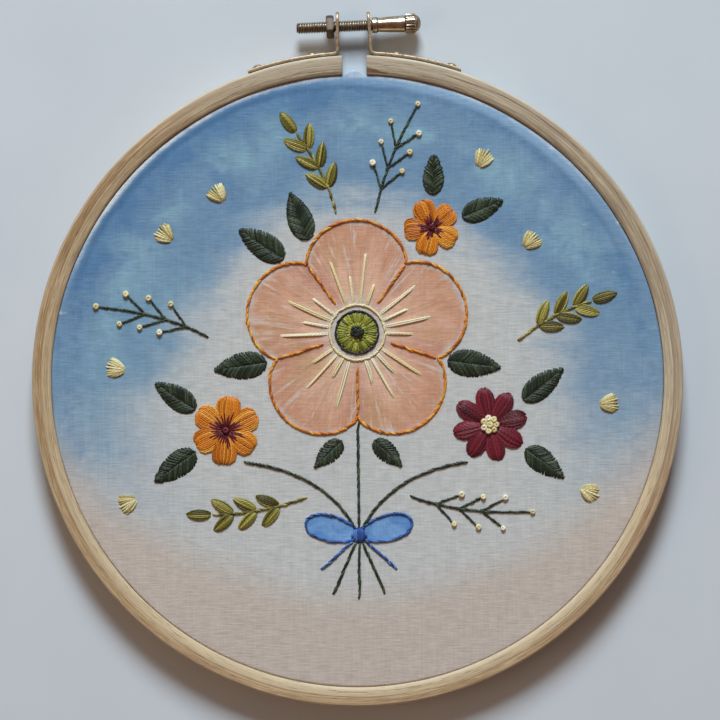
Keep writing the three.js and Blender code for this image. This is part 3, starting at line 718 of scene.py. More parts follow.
bracket = {
    "thickness": 1, "half": 3.5, "middle": 5, "reach": 19, "bend": 1.7, "edge": 0.28, "gap": 0.3,
    "ear": 4.7, "earTop": 115, "corner": 2.6, "hole": 1.98, "holeEdge": 0.15,
    "lap": 0.35, "lapSize": 0.93, "meet": 0.02,  # the strip's end stands a little way inside the ear
    "sides": 72, "arcSteps": 22, "bendSteps": 9, "sharp": 40,
}
screw = {
    "height": 110.7, "middle": 5, "tilt": 1.9, "radius": 1.78, "freeEnd": -18, "sharp": 35,
    "pitch": 0.78, "cut": 0.38, "perPitch": 8, "sides": 120, "lead": 0.6, "leadLeast": 0.3, "leadSize": 0.75,
    "flank": 1.9, "crest": 0.45, "dirt": (0.52, 0.4),  # dirt on the crests, and how much more in the roots
}


# The strip: a rounded bar carried along an arc round the ring, then a quadratic bend up to the ear's foot.
def stripTube(side, lean):
    middle = ringOutside + bracket["gap"] + bracket["thickness"] / 2
    ear = bracket["ear"] + bracket["thickness"] / 2
    bend = bracket["bend"]
    arcEnd = np.arcsin((ear + bend) / middle)
    angle = np.linspace(math.radians(bracket["reach"]), arcEnd, bracket["arcSteps"])
    arc = np.stack([middle * np.sin(angle), middle * np.cos(angle)], -1)
    foot = np.array([ear, np.sqrt(middle ** 2 - ear ** 2)])
    top = foot + [0, bend]
    t = np.linspace(0, 1, bracket["bendSteps"])[1:, None]
    turn = (1 - t) ** 2 * arc[-1] + 2 * t * (1 - t) * foot + t ** 2 * top
    path = np.concatenate([arc, turn, [top + [0, bracket["lap"]]]])
    path[:, 0] -= np.maximum(path[:, 1] - foot[1], 0) * math.tan(math.radians(lean))
    along = unit(np.gradient(path, axis=0))
    out = np.stack([-along[:, 1], along[:, 0]], -1)
    half = bracket["thickness"] / 2
    edges = [(bracket["edge"], bracket["edge"])] * 4
    section = roundedSection(-half, half, -bracket["half"], bracket["half"], edges, perCorner=4)
    size = np.ones(len(path))
    size[-1] = bracket["lapSize"]
    ring = path[:, None, :] + out[:, None, :] * section[None, :, :1] * size[:, None, None]
    height = np.broadcast_to(bracket["middle"] + section[:, 1], ring.shape[:2])
    rings = np.concatenate([ring * [side, 1], height[..., None]], -1)
    ends = np.concatenate([path[[0, -1]] * [side, 1], np.full((2, 1), bracket["middle"])], 1)
    return tubePoints(rings[None], ends[:1], ends[1:]), tubeFaces(1, *ring.shape[:2]), foot, top


# The ear: round the screw's hole each ray runs out to a rectangle whose two upper corners are arcs.
def earPlate(side, lean, foot, top):
    half, corner = bracket["half"], bracket["corner"]
    x = bracket["ear"] + bracket["thickness"] / 2
    holeY = screw["height"] + side * x * math.tan(math.radians(screw["tilt"]))
    angle = fullTurn(bracket["sides"])
    upward, sideways = np.cos(angle), np.sin(angle)
    toTop, toFoot = bracket["earTop"] - holeY, holeY - top[1] + bracket["meet"]
    tiny = 1e-6
    rise = np.where(upward > 0, toTop, toFoot) / np.maximum(np.abs(upward), tiny)
    width = half / np.maximum(np.abs(sideways), tiny)
    reach = np.minimum(rise, width)
    centreUp, centreSide = toTop - corner, half - corner
    along = upward * centreUp + np.abs(sideways) * centreSide
    arcReach = along + np.sqrt(np.maximum(along ** 2 - centreUp ** 2 - centreSide ** 2 + corner ** 2, 0))
    inCorner = (upward * reach > centreUp) & (np.abs(sideways) * reach > centreSide)
    reach = np.where(inCorner, arcReach, reach)[:, None]
    edge, soft, thick = bracket["edge"], bracket["holeEdge"], bracket["thickness"] / 2
    part = edge * 0.3  # the outer edge is rounded in two steps
    # where fromHole is below 0, the ray's end counts
    fromHole = np.array([0, soft, -1, -1, -1, -1, -1, -1, soft, 0])
    fromEdge = np.array([0, 0, edge, part, 0, 0, part, edge, 0, 0])
    across = np.array([thick - soft, thick, thick, thick - part, thick - edge])
    across = np.concatenate([across, -across[::-1]])
    distance = np.where(fromHole >= 0, bracket["hole"] + fromHole, reach - fromEdge)
    y = holeY + distance * upward[:, None]
    z = bracket["middle"] + distance * sideways[:, None]
    leaned = x + across - np.maximum(y - foot[1], 0) * math.tan(math.radians(lean))
    points = np.stack([leaned * side, y, z], -1)
    faces = gridFaces(*points.shape[:2], closedRows=True, closedColumns=True)
    return points.reshape(-1, 3), faces


def makeBracket(name, side, lean, finish):
    stripPoints, stripFaces, foot, top = stripTube(side, lean)
    earPoints, earFaces = earPlate(side, lean, foot, top)
    if signedVolume(stripPoints, stripFaces) < 0:
        stripFaces = [block[:, ::-1] for block in stripFaces]
    if signedVolume(earPoints, [earFaces]) < 0:
        earFaces = earFaces[:, ::-1]
    points = np.concatenate([stripPoints, earPoints])
    faces = [np.concatenate([stripFaces[0], earFaces + len(stripPoints)]), stripFaces[1]]
    addPiece("brass_" + name, points, faces, finish, "brass", [name], sharp=bracket["sharp"])


rivet = {
    "head": 1.5, "dome": 0.85, "angles": (7.4, 17.2), "sides": 24, "steps": 8, "sharp": 50,
    "sunk": 0.1, "foot": 0.2, "footSize": 0.96,
}


# A dome: rings whose radius is a cosine and whose height is a sine, on a short straight foot.
def makeRivet(name, side, angle, finish):
    seat = ringOutside + bracket["gap"] + bracket["thickness"] - rivet["sunk"]
    lift = np.linspace(0, np.pi / 2, rivet["steps"])[:-1]
    radius = np.concatenate([[rivet["head"] * rivet["footSize"]], rivet["head"] * np.cos(lift)])
    out = seat + np.concatenate([[0], rivet["foot"] + rivet["dome"] * np.sin(lift)])
    turn = fullTurn(rivet["sides"])
    sideways = radius[:, None] * np.cos(turn)
    height = bracket["middle"] + radius[:, None] * np.sin(turn)
    lean = math.radians(side * angle)

    def put(out, sideways, height):
        x = out * math.sin(lean) + sideways * math.cos(lean)
        y = out * math.cos(lean) - sideways * math.sin(lean)
        return np.stack([x, y, height], -1)

    rings = put(out[:, None] + 0 * sideways, sideways, height)
    poleOut = np.array([seat, seat + rivet["foot"] + rivet["dome"]])
    poles = put(poleOut, np.zeros(2), np.full(2, bracket["middle"]))
    points, faces = tubePoints(rings[None], poles[:1], poles[1:]), tubeFaces(1, *sideways.shape)
    addPiece("brass_" + name, points, faces, finish, "brass", [name], sharp=rivet["sharp"])


# from (along the screw, out, out) to the hoop, turned by the screw's tilt
def alongScrew(points):
    tilt = math.radians(screw["tilt"])
    x = points[..., 0] * math.cos(tilt) - points[..., 1] * math.sin(tilt)
    y = points[..., 0] * math.sin(tilt) + points[..., 1] * math.cos(tilt)
    return np.stack([x, y + screw["height"], points[..., 2] + screw["middle"]], -1)


head = {  # long and radius of each part in turn
    "start": 5.6, "collar": (1.6, 2.5), "neck": (0.5, 2.2), "barrel": (8.3, 2.65), "fluted": (3.2, 3.1),
    "inset": 0.1, "shaft": 1.5, "edge": 0.2, "groove": 0.3, "grooveDeep": 0.35,
    "thumbEdge": 0.25, "thumbIn": 0.3, "flutes": 20, "fluteDepth": 0.32,
    "dome": 1.6, "domeFoot": 0.05, "domeIn": 0.55, "domeDirt": 0.5, "domeSteps": 7,
    "barrelSteps": 9, "barrelCurve": 0.8,
}


# A turned piece: a radius for each place along the axis. The thread's falls by a wave of (place over pitch
# less the share of a turn) with flat crests and roots. The thumb end's falls by narrow grooves between ribs.
def makeScrew(finish):
    turn = fullTurn(screw["sides"])
    freeEnd, pitch, first = screw["freeEnd"], screw["pitch"], head["start"]
    threadEnd = first - head["inset"]
    turns = int((threadEnd - freeEnd) / pitch)
    place = np.linspace(freeEnd + head["domeFoot"], threadEnd, turns * screw["perPitch"])
    phase = (place[:, None] / pitch - turn[None, :] / (2 * np.pi)) % 1
    # the free end is drawn in a little
    lead = np.clip((place - freeEnd) / screw["lead"], screw["leadLeast"], 1)[:, None]
    cut = np.clip(np.abs(2 * phase - 1) * screw["flank"] - screw["crest"], 0, 1)
    thread = (screw["radius"] - screw["cut"] * cut) * (screw["leadSize"] + (1 - screw["leadSize"]) * lead)

    runs = [head[part] for part in ("collar", "neck", "barrel", "fluted")]
    collarLong, neckLong, barrelLong, thumbLong = (run[0] for run in runs)
    collar, neck, barrel, thumb = (run[1] for run in runs)
    collarEnd = first + collarLong
    neckEnd = collarEnd + neckLong
    barrelEnd = neckEnd + barrelLong
    thumbEnd = barrelEnd + thumbLong
    edge, thumbEdge, grooveRadius = head["edge"], head["thumbEdge"], barrel - head["grooveDeep"]
    swell = np.linspace(0, 1, head["barrelSteps"])
    turnedPlace = np.concatenate([
        [first, first, first + edge, collarEnd - edge, collarEnd],
        neckEnd + swell * (barrelEnd - neckEnd - head["groove"]),
        [barrelEnd - head["inset"], barrelEnd],
        [barrelEnd, barrelEnd + thumbEdge, thumbEnd - thumbEdge, thumbEnd],
    ])
    turnedRadius = np.concatenate([
        [head["shaft"], collar - edge, collar, collar, collar - edge],
        neck + (barrel - neck) * swell ** head["barrelCurve"],
        [grooveRadius, grooveRadius],
        [thumb - head["thumbIn"], thumb, thumb, thumb - thumbEdge],
    ])
    fluted = ((turnedPlace >= barrelEnd) & (turnedRadius > barrel)).astype(float)
    wave = fluted[:, None] * (0.5 - 0.5 * np.cos(head["flutes"] * turn)) ** 2
    headRadius = turnedRadius[:, None] - head["fluteDepth"] * wave
    grooved = np.isclose(turnedRadius, grooveRadius)[:, None]
    lift = np.linspace(0, np.pi / 2, head["domeSteps"])[:-1]
    domePlace = thumbEnd + head["domeFoot"] + (head["dome"] - head["domeFoot"]) * np.sin(lift)
    domeRadius = (thumb - head["domeIn"]) * np.cos(lift)[:, None] + 0 * turn
    allPlace = np.concatenate([place, turnedPlace, domePlace])[:, None] + 0 * turn
    allRadius = np.concatenate([thread, headRadius, domeRadius])
    rings = np.stack([allPlace, allRadius * np.cos(turn), allRadius * np.sin(turn)], -1)
    poles = np.array([[freeEnd, 0, 0], [thumbEnd + head["dome"], 0, 0]])
    points = alongScrew(tubePoints(rings[None], poles[:1], poles[1:]))
    faces = tubeFaces(1, *allRadius.shape)
    threadDirt = screw["dirt"][0] + screw["dirt"][1] * cut
    dirt = np.concatenate([threadDirt, np.maximum(wave, grooved), head["domeDirt"] + 0 * domeRadius])
    looks = {"shade": np.append(dirt.ravel(), [head["domeDirt"]] * 2), "sharp": screw["sharp"]}
    addPiece("brass_screw", points, faces, finish, "brass", ["tension_screw"], "screw", **looks)


nut = {
    "acrossFlats": 6.6, "start": -8.7, "end": -6.3, "turn": 48, "hole": 1.9, "sides": 96, "sharp": 25,
    "chamfer": 0.35, "crown": 1.06, "crownSize": 0.96, "countersink": 0.3, "dirt": 1.1,
}


# Six flats: the radius is half the width over the cosine of the angle from the nearest flat's middle.
def makeNut(finish):
    turn = fullTurn(nut["sides"])[:, None]
    fromFlat = (np.degrees(turn) - nut["turn"]) % 60 - 30
    flats = nut["acrossFlats"] / 2 / np.cos(np.radians(fromFlat))
    crown = np.minimum(flats, nut["acrossFlats"] / 2 * nut["crown"]) * nut["crownSize"]
    low, high, chamfer, sink = nut["start"], nut["end"], nut["chamfer"], nut["countersink"]
    place = np.array([low + sink, low, low, low + chamfer, high - chamfer, high, high, high - sink])
    bore = np.full(turn.shape, nut["hole"])
    radius = np.concatenate([bore, bore + sink, crown, flats, flats, crown, bore + sink, bore], 1)
    rows = np.stack([place + 0 * radius, radius * np.cos(turn), radius * np.sin(turn)], -1)
    points = alongScrew(rows).reshape(-1, 3)
    faces = [gridFaces(*radius.shape, closedRows=True, closedColumns=True)]
    dirt = np.full(radius.size, nut["dirt"])
    addPiece("brass_nut", points, faces, finish, "brass", ["hex_nut"], shade=dirt, sharp=nut["sharp"])


stripBrass = brassFinish("strip_brass", wear=0.9, dull=0.42, dents=0.12)
screwBrass = brassFinish("screw_brass", wear=0.2, dull=0.13, dents=0.03)
for side, name, lean in ((-1, "left", 0), (1, "right", 3.5)):  # the right ear leans in by this many degrees
    makeBracket("bracket_" + name, side, lean, stripBrass)
    for i, angle in enumerate(rivet["angles"]):
        makeRivet(f"rivet_{name}_{i + 1}", side, angle, stripBrass)
makeScrew(screwBrass)
makeNut(screwBrass)
print("brass fitted")


# stitching

strand = {
    "steps": 9, "sides": 8, "flat": 0.72, "sink": 0.28, "arch": 5, "taper": 3,
    "widths": (0.86, 1.1), "lifts": (-0.05, 0.07),  # how far stitches differ, as shares and in mm
}
# points along each kind of route
routeSteps = {"edge": 500, "line": 20, "circle": 73, "sprig": 40, "twig": 12, "stem": 50, "loop": 120}
seeds = {
    "bloom": 11, "flower": 20, "leaf": 39, "leafSprig": 60, "knotSprig": 70,
    "bud": 80, "stems": 90, "bow": 95,
}
pull = (1 - np.cos(np.linspace(0, np.pi, strand["steps"]))) / 2  # shares along a stitch, closer at its ends

flosses = {  # the shaded, the middle and the lit colour of each, and its slot
    "orange": ("7d3a0e", "c3741d", "efae4b", "thread_orange"),
    "maroon": ("340a14", "5f1727", "8a2d3c", "thread_maroon"),
    "green": ("131a13", "243023", "4a583f", "thread_green"),
    "olive": ("37330f", "6c6728", "aaa257", "thread_olive"),
    "cream": ("93885c", "cfc394", "f0e7c6", "thread_cream"),
    "butter": ("756b41", "bbae78", "e9dfb3", "thread_cream"),
    "blue": ("1b315e", "2d5296", "5580c2", "thread_blue"),
    "lime": ("474a17", "858a32", "b9bb5e", "thread_lime"),
    "dark": ("0e110f", "1a1f1c", "343a33", "thread_green"),
}
flossLook = {"plies": 2, "twist": 1.15, "phase": 17, "hollow": 0.36}  # mm a turn; phase sets stitches apart


# Floss: each stitch has its own shade. Its plies twist round it as a sine of (turns round + distance along).
def flossFinish(name):
    material, place = startFinish("floss_" + name)
    shaded, middle, lit = (seen(text) for text in flosses[name][:3])
    shade = place.node("Attribute", {"attribute_name": "shade"}, None, "Fac")
    around, along = place.node("UVMap", {"uv_map": "UVMap"}).parts()[:2]
    fuzz = place.noise((2.2, 2.2, 2.2), 3, 0.6) - 0.5
    turns = around * flossLook["plies"] + along / flossLook["twist"]
    turns = turns + shade * flossLook["phase"] + fuzz * 0.25
    ply = (turns * (2 * math.pi)).sine() * 0.5 + 0.5
    mix = shade + fuzz * 0.7
    colour = mix.rises(0, 0.55).blend(shaded, middle)
    colour = mix.rises(0.5, 1.05).blend(colour, lit)
    colour = ((1 - ply.rises(0, 0.45)) * flossLook["hollow"]).blend(colour, shaded)
    inputs = {
        "Base Color": colour,
        "Roughness": 0.42 + fuzz * 0.25,
        "Normal": (ply + fuzz * 0.6).bump(0.5, 0.06),
        "Sheen Weight": 0.1,
        "Sheen Roughness": 0.4,
        "Specular IOR Level": 0.34,
    }
    endFinish(place, inputs)
    return material


flossFinishes = {name: flossFinish(name) for name in flosses}


def heading(aim):
    return np.stack([np.cos(np.radians(aim)), np.sin(np.radians(aim))], -1)


def middleOf(row):
    return np.array([row["x"], row["y"]], float)


# points (along, across) turned to an aim and moved to a foot
def turned(points, aim, foot):
    ahead = heading(np.asarray(aim))
    left = np.stack([-ahead[..., 1], ahead[..., 0]], -1)
    return np.asarray(foot) + points[..., :1] * ahead + points[..., 1:] * left


# neighbouring points are blended by t until one is left
def bezier(points, t):
    rows = [np.asarray(point, float) * np.ones_like(t)[..., None] for point in points]
    while len(rows) > 1:
        rows = [a + (b - a) * t[..., None] for a, b in zip(rows, rows[1:])]
    return rows[0]


# distances along a route of points, counted from its start
def routeRun(route):
    step = np.linalg.norm(np.diff(route, axis=-2), axis=-1)
    return np.concatenate([np.zeros((*step.shape[:-1], 1)), np.cumsum(step, -1)], -1)


# places and left-hand directions at distances along a route
def alongRoute(route, distance):
    run = routeRun(route)
    ahead = np.gradient(route, run, axis=0)
    spot = np.stack([np.interp(distance, run, route[:, k]) for k in (0, 1)], -1)
    dx, dy = (np.interp(distance, run, ahead[:, k]) for k in (0, 1))
    return spot, unit(np.stack([-dy, dx], -1))


def evenly(kind):
    return np.linspace(0, 1, routeSteps[kind])


def diceFor(work, i=0):
    return np.random.default_rng(seeds[work] + i)


# A set of stitches: their plans (stitches, steps, 2), with a width, a rise over the cloth and a shade each.
def laid(plan, width, rise, dice, shade=(0.1, 0.9), slim=0.25):
    count = len(plan)
    width = np.broadcast_to(np.asarray(width, float), (count,)) * dice.uniform(*strand["widths"], count)
    rise = np.broadcast_to(np.asarray(rise, float), (count,)) + dice.uniform(*strand["lifts"], count)
    taper = 1 - slim * np.abs(2 * pull - 1) ** strand["taper"]
    return {
        "plan": plan,
        "width": width[:, None] * taper,
        "rise": rise[:, None] * np.ones(len(pull)),
        "shade": dice.uniform(*shade, count),
    }


# Tubes of floss along their paths, spread over two directions and flattened by a share in the second one.
# The piece is named after a node of the frame and stands for it, or is extra work on top.
def sewTubes(node, path, sideways, up, flat, half, shade, floss, extra):
    count, steps = path.shape[:2]
    sides = strand["sides"]
    turn = fullTurn(sides)[:, None]
    spread = np.cos(turn) * sideways[:, :, None] + flat * np.sin(turn) * up[:, :, None]
    rings = path[:, :, None] + spread * half[..., None, None]
    points, faces = tubePoints(rings, path[:, 0], path[:, -1]), tubeFaces(count, steps, sides)
    looks = {"uv": tubeUv(routeRun(path), sides), "shade": np.repeat(shade, steps * sides + 2)}
    finish, slot = flossFinishes[floss], flosses[floss][3]
    replaced = () if extra else [node]
    addPiece("stitched_" + node, points, faces, finish, slot, replaced, **looks)


# Each stitch comes up through the cloth, lies on it at its rise and goes down again: the height follows
# 1 - |2s - 1|^5 for s along the stitch.
def stitchPiece(node, sets, floss, extra=False):
    keys = ("plan", "width", "rise", "shade")
    plan, width, rise, shade = (np.concatenate([one[key] for one in sets]) for key in keys)
    arch = 1 - np.abs(2 * pull - 1) ** strand["arch"]
    height = clothFace - strand["sink"] + (rise + strand["sink"]) * arch
    path = np.concatenate([plan, height[..., None]], -1)
    along = unit(np.gradient(path, axis=1))
    left = unit(np.stack([-along[..., 1], along[..., 0], 0 * height], -1))
    sewTubes(node, path, left, np.cross(along, left), strand["flat"], width / 2, shade, floss, extra)


# straight stitches between two lists of points, each bowed sideways by a half sine
def straightStitches(starts, ends, bow=0.0):
    span = (ends - starts)[:, None, :]
    left = unit(np.stack([-span[..., 1], span[..., 0]], -1))
    bow = np.broadcast_to(np.asarray(bow, float), (len(starts),))[:, None, None]
    return starts[:, None, :] + span * pull[None, :, None] + left * bow * np.sin(np.pi * pull)[None, :, None]


rope = {"pitch": 1.15, "length": 2.5, "width": 0.7, "sway": 0.48, "rise": 0.34, "wander": 0.07}


# Stem stitch: a stitch starts at every pitch of the route, and crosses from one side of it to the other.
def stemStitch(route, dice, size=1.0, shade=(0.1, 0.95)):
    length = routeRun(route)[-1]
    reach = min(rope["length"] * size, length)
    count = max(2, int(round((length - reach) / (rope["pitch"] * size))) + 1) if length > reach else 1
    start = np.linspace(0, length - reach, count)[:, None]
    spot, left = alongRoute(route, start + reach * pull)
    side = ((0.5 - pull) * rope["sway"] * size)[None, :, None]
    wander = dice.normal(0, rope["wander"], (count, 1, 2))
    return laid(spot + left * side + wander, rope["width"] * size, rope["rise"], dice, shade)


blades = {  # two pulls of a blade's edge, as shares of its length and width
    "leaf": ((0.15, 0.75), (0.7, 0.5)),
    "sprig": ((0.3, 0.7), (0.75, 0.55)),
    "bud": ((0.3, 0.15), (0.85, 1.05)),
    "pointed": ((0.35, 0.5), (0.86, 0.72)),
    "rounded": ((0.3, 0.55), (1.08, 0.85)),
}


# the left-hand edge of a blade as (along, across), a cubic curve from its foot to its tip
def bladeEdge(kind, length, width, t, foot=0.35):
    near, far = (np.array(row) * [length, width] for row in blades[kind])
    return bezier([(0, foot), near, far, (length, 0)], t)


satin = {"start": 0.03, "run": 0.94, "trim": (-0.35, 0.2), "rise": 0.3, "slim": 0.55}


# Stitches along a blade, spread between its two edges: across is a share of the edge's own.
def lengthwise(kind, row, look, dice, shade=(0.05, 0.95)):
    count = look["count"]
    share = np.linspace(-1, 1, count) * (1 - look["thread"] / row["width"])
    edge = bladeEdge(kind, row["length"], row["width"], satin["start"] + satin["run"] * pull)
    trim = dice.uniform(*satin["trim"], (count, 1)) * pull
    along = np.broadcast_to(edge[:, 0], (count, len(pull))) + trim
    across = share[:, None] * edge[:, 1]
    plan = turned(np.stack([along, across], -1), row["aim"], middleOf(row))
    rise = satin["rise"] + look["crown"] * (1 - share ** 2)
    return laid(plan, look["thread"], rise, dice, shade, satin["slim"])


knot = {
    "radius": 0.63, "thread": 0.79, "turns": 2.1, "steps": 19, "sizes": (0.88, 1.12), "shades": (0.35, 0.95),
    "seat": 0.18, "rise": 0.55, "topAt": 0.8, "closing": 0.25,
    "diveAt": 0.88, "diveIn": 0.7, "diveDown": 0.35,
}


# A French knot: the thread winds twice round the needle, each turn a little higher, and dives in its middle.
def frenchKnots(node, spots, dice, floss, lift=0.0, size=1.0, extra=True):
    count = len(spots)
    share = np.linspace(0, 1, knot["steps"])
    angle = dice.uniform(0, 2 * np.pi, count)[:, None] + 2 * np.pi * knot["turns"] * share
    scale = size * dice.uniform(*knot["sizes"], count)[:, None]
    dive = np.clip(share - knot["diveAt"], 0, 1) / (1 - knot["diveAt"])
    radius = knot["radius"] * scale * (1 - knot["closing"] * share - knot["diveIn"] * dive)
    height = clothFace + lift + knot["seat"] + knot["rise"] * scale * np.minimum(share / knot["topAt"], 1)
    height = height - knot["diveDown"] * dive
    out = np.stack([np.cos(angle), np.sin(angle), 0 * angle], -1)
    path = np.concatenate([spots[:, None, :] + radius[..., None] * out[..., :2], height[..., None]], -1)
    along = unit(np.gradient(path, axis=1))
    shade = dice.uniform(*knot["shades"], count)
    sewTubes(node, path, out, unit(np.cross(along, out)), 1, knot["thread"] / 2 * scale, shade, floss, extra)


# the bloom: a roped edge, a satin eye and long straight stamens, two threads each
stamens = {
    "perPetal": 4, "spread": 40, "shortest": 17, "longest": 24, "thread": 0.62, "rise": 0.36,
    "apart": 0.24, "closing": 0.7, "uneven": 0.8, "ragged": 0.3, "bow": 0.12,
    "shades": (0.5, 0.95), "ringShades": (0.45, 0.9),
}
eye = {
    "outer": (46, 2.6, 6.35, 0.3), "inner": (22, 0.5, 3.4, 0.5),  # count, near, far and rise
    "thread": 0.85, "sway": 2, "starts": (-0.3, 0.5), "ends": (-0.25, 0.25),
}
eyeKnots = {"around": 6, "ring": 1.35, "turn": 12, "lift": 0.5}


def bloomEdge(share):
    lobe = np.abs(np.cos(np.pi * (share - np.round(share)))) ** bloom["lobe"]
    reach = bloom["radius"] * (1 - bloom["notch"] * (1 - lobe))
    return middleOf(bloom) + reach[..., None] * heading(bloom["turn"] + 360 * share / bloom["petals"])


def circleRoute(centre, radius):
    return centre + radius * heading(np.linspace(0, 360, routeSteps["circle"]))


def makeBloom():
    dice = diceFor("bloom")
    centre, petals = middleOf(bloom), bloom["petals"]
    sets = [stemStitch(bloomEdge(np.linspace(-0.5, petals - 0.5, routeSteps["edge"])), dice)]
    inner, outer = bloom["ring"] + bloom["ribGap"], bloom["radius"] * (1 - bloom["notch"])
    for i in range(petals):
        ray = heading(bloom["turn"] + 360 * (i + 0.5) / petals)
        rib = centre + np.linspace(inner, outer, routeSteps["line"])[:, None] * ray
        sets.append(stemStitch(rib, dice, bloom["ribRope"]))
    stitchPiece("bloom_outline", sets, "orange")

    petal = np.repeat(np.arange(petals), stamens["perPetal"])
    which = np.tile(np.arange(stamens["perPetal"]), petals)
    spread = stamens["spread"] * (which / (stamens["perPetal"] - 1) - 0.5)
    aim = bloom["turn"] + 360 * petal / petals + spread
    count, uneven, ragged = len(aim), stamens["uneven"], stamens["ragged"]
    reach = np.where(which % 2, stamens["longest"], stamens["shortest"])
    reach = reach + dice.uniform(-uneven, uneven, count)
    ray, beside = heading(aim), heading(aim + 90)
    sets = [stemStitch(circleRoute(centre, bloom["ring"]), dice, bloom["ringRope"], stamens["ringShades"])]
    for offset in (-stamens["apart"], stamens["apart"]):
        near = centre + bloom["ring"] * ray + offset * beside
        far = (reach + dice.uniform(-ragged, ragged, count))[:, None] * ray
        far = far + offset * stamens["closing"] * beside
        plan = straightStitches(near, centre + far, dice.normal(0, stamens["bow"], count))
        sets.append(laid(plan, stamens["thread"], stamens["rise"], dice, stamens["shades"]))
    stitchPiece("bloom_stamens", sets, "cream")

    sets = []
    for count, near, far, rise in (eye["outer"], eye["inner"]):
        ray = heading(360 * np.arange(count) / count + dice.uniform(-eye["sway"], eye["sway"], count))
        start = centre + (near + dice.uniform(*eye["starts"], count))[:, None] * ray
        end = centre + (far + dice.uniform(*eye["ends"], count))[:, None] * ray
        sets.append(laid(straightStitches(start, end), eye["thread"], rise, dice))
    stitchPiece("bloom_eye", sets, "lime")
    rim = stemStitch(circleRoute(centre, bloom["eye"]), dice, bloom["ringRope"])
    stitchPiece("eye_rim", [rim], "dark", extra=True)
    turn = 360 * np.arange(eyeKnots["around"]) / eyeKnots["around"] + eyeKnots["turn"]
    around = eyeKnots["ring"] * heading(turn)
    frenchKnots("eye_knots", centre + np.concatenate([[[0, 0]], around]), dice, "dark", eyeKnots["lift"])


makeBloom()

flowers = [
    {"name": "flower_maroon", "x": 41, "y": -14, "radius": 12, "petals": 8, "turn": 12, "width": 6.5},
    {"name": "flower_orange", "x": -41, "y": -15, "radius": 10.5, "petals": 6, "turn": 25, "width": 7.4},
    {"name": "flower_small", "x": 23.5, "y": 47.5, "radius": 8.6, "petals": 5, "turn": 40, "width": 6.8},
]
petalLook = {
    "foot": 0.8, "sway": 2, "uneven": (-0.3, 0.1),
    "thread": 0.66, "count": 13, "crown": 0.38, "darkest": (0.05, 0.35), "shades": 0.6,
}
streakLook = {
    "count": 5, "fan": 20, "uneven": 3, "start": 0.5, "reach": (0.4, 0.72),
    "thread": 0.46, "rise": 0.8, "shades": (0.2, 0.6), "slim": 0.5,
}
heap = {"radius": 2.0, "knots": 7, "lift": 0.6, "size": 1.15}
middleKnot = {"lift": 0.5, "size": 1.1}


# Each petal is a blade of lengthwise satin stitches that leaves the flower's middle. Fine streaks run out
# over the orange petals, and a heap of knots fills the middle of the maroon flower.
def makeFlower(flower, i):
    dice = diceFor("flower", i)
    floss, kind = ("maroon", "pointed") if flower["name"] == "flower_maroon" else ("orange", "rounded")
    middle, count = middleOf(flower), streakLook["count"]
    sets, starts, ends = [], [], []
    for petal in range(flower["petals"]):
        aim = flower["turn"] + 360 * petal / flower["petals"]
        foot = middle + petalLook["foot"] * heading(aim)
        row = {
            "x": foot[0], "y": foot[1], "width": flower["width"],
            "aim": aim + dice.uniform(-petalLook["sway"], petalLook["sway"]),
            "length": flower["radius"] - petalLook["foot"] + dice.uniform(*petalLook["uneven"]),
        }
        darkest = dice.uniform(*petalLook["darkest"])
        sets.append(lengthwise(kind, row, petalLook, dice, (darkest, darkest + petalLook["shades"])))
        fan = np.linspace(-streakLook["fan"], streakLook["fan"], count)
        ray = heading(aim + fan + dice.uniform(-streakLook["uneven"], streakLook["uneven"], count))
        starts.append(middle + streakLook["start"] * ray)
        ends.append(middle + flower["radius"] * dice.uniform(*streakLook["reach"], (count, 1)) * ray)
    stitchPiece(flower["name"], sets, floss)
    if floss == "orange":
        plan = straightStitches(np.concatenate(starts), np.concatenate(ends))
        look = streakLook
        streaks = laid(plan, look["thread"], look["rise"], dice, look["shades"], look["slim"])
        stitchPiece("streaks_" + flower["name"], [streaks], "maroon", extra=True)
        frenchKnots("middle_" + flower["name"], middle[None], dice, "maroon", **middleKnot)
    else:
        around = np.arange(heap["knots"] + 1)  # the last one sits in the middle
        out = heap["radius"] * (around < heap["knots"])
        spots = middle + out[:, None] * heading(around * 360 / heap["knots"])
        frenchKnots("flower_knots", spots, dice, "cream", heap["lift"], heap["size"], extra=False)


for i, flower in enumerate(flowers):
    makeFlower(flower, i)

leafPlaces = [  # foot, aim, length and width of each
    (-15, 43.8, 110, 16, 8.5), (-22.5, 38, 146, 17, 9), (-28, 6, 188, 17, 9), (28, 6, 352, 17, 9),
    (51.5, -6.5, 38, 16, 8), (52, -21.5, 322, 15, 8), (-50.5, -8.5, 146, 15, 8), (-50.5, -21.5, 216, 16, 8.5),
    (33, 50.5, 22, 14, 7.5), (24, 57.5, 88, 13, 7), (-5, -18.5, 224, 12, 6.5), (5, -18.5, 316, 12, 6.5),
]
leafLook = {
    "thread": 0.66, "apart": 0.62, "ends": (0.06, 0.97), "jag": (-0.25, 0.45), "slant": 0.62, "back": 0.9,
    "over": 0.25, "bow": 0.18, "rise": 0.3, "riseToTip": 0.16, "shades": (0.1, 0.85),
    "jagWide": 0.15, "least": 0.1,
}


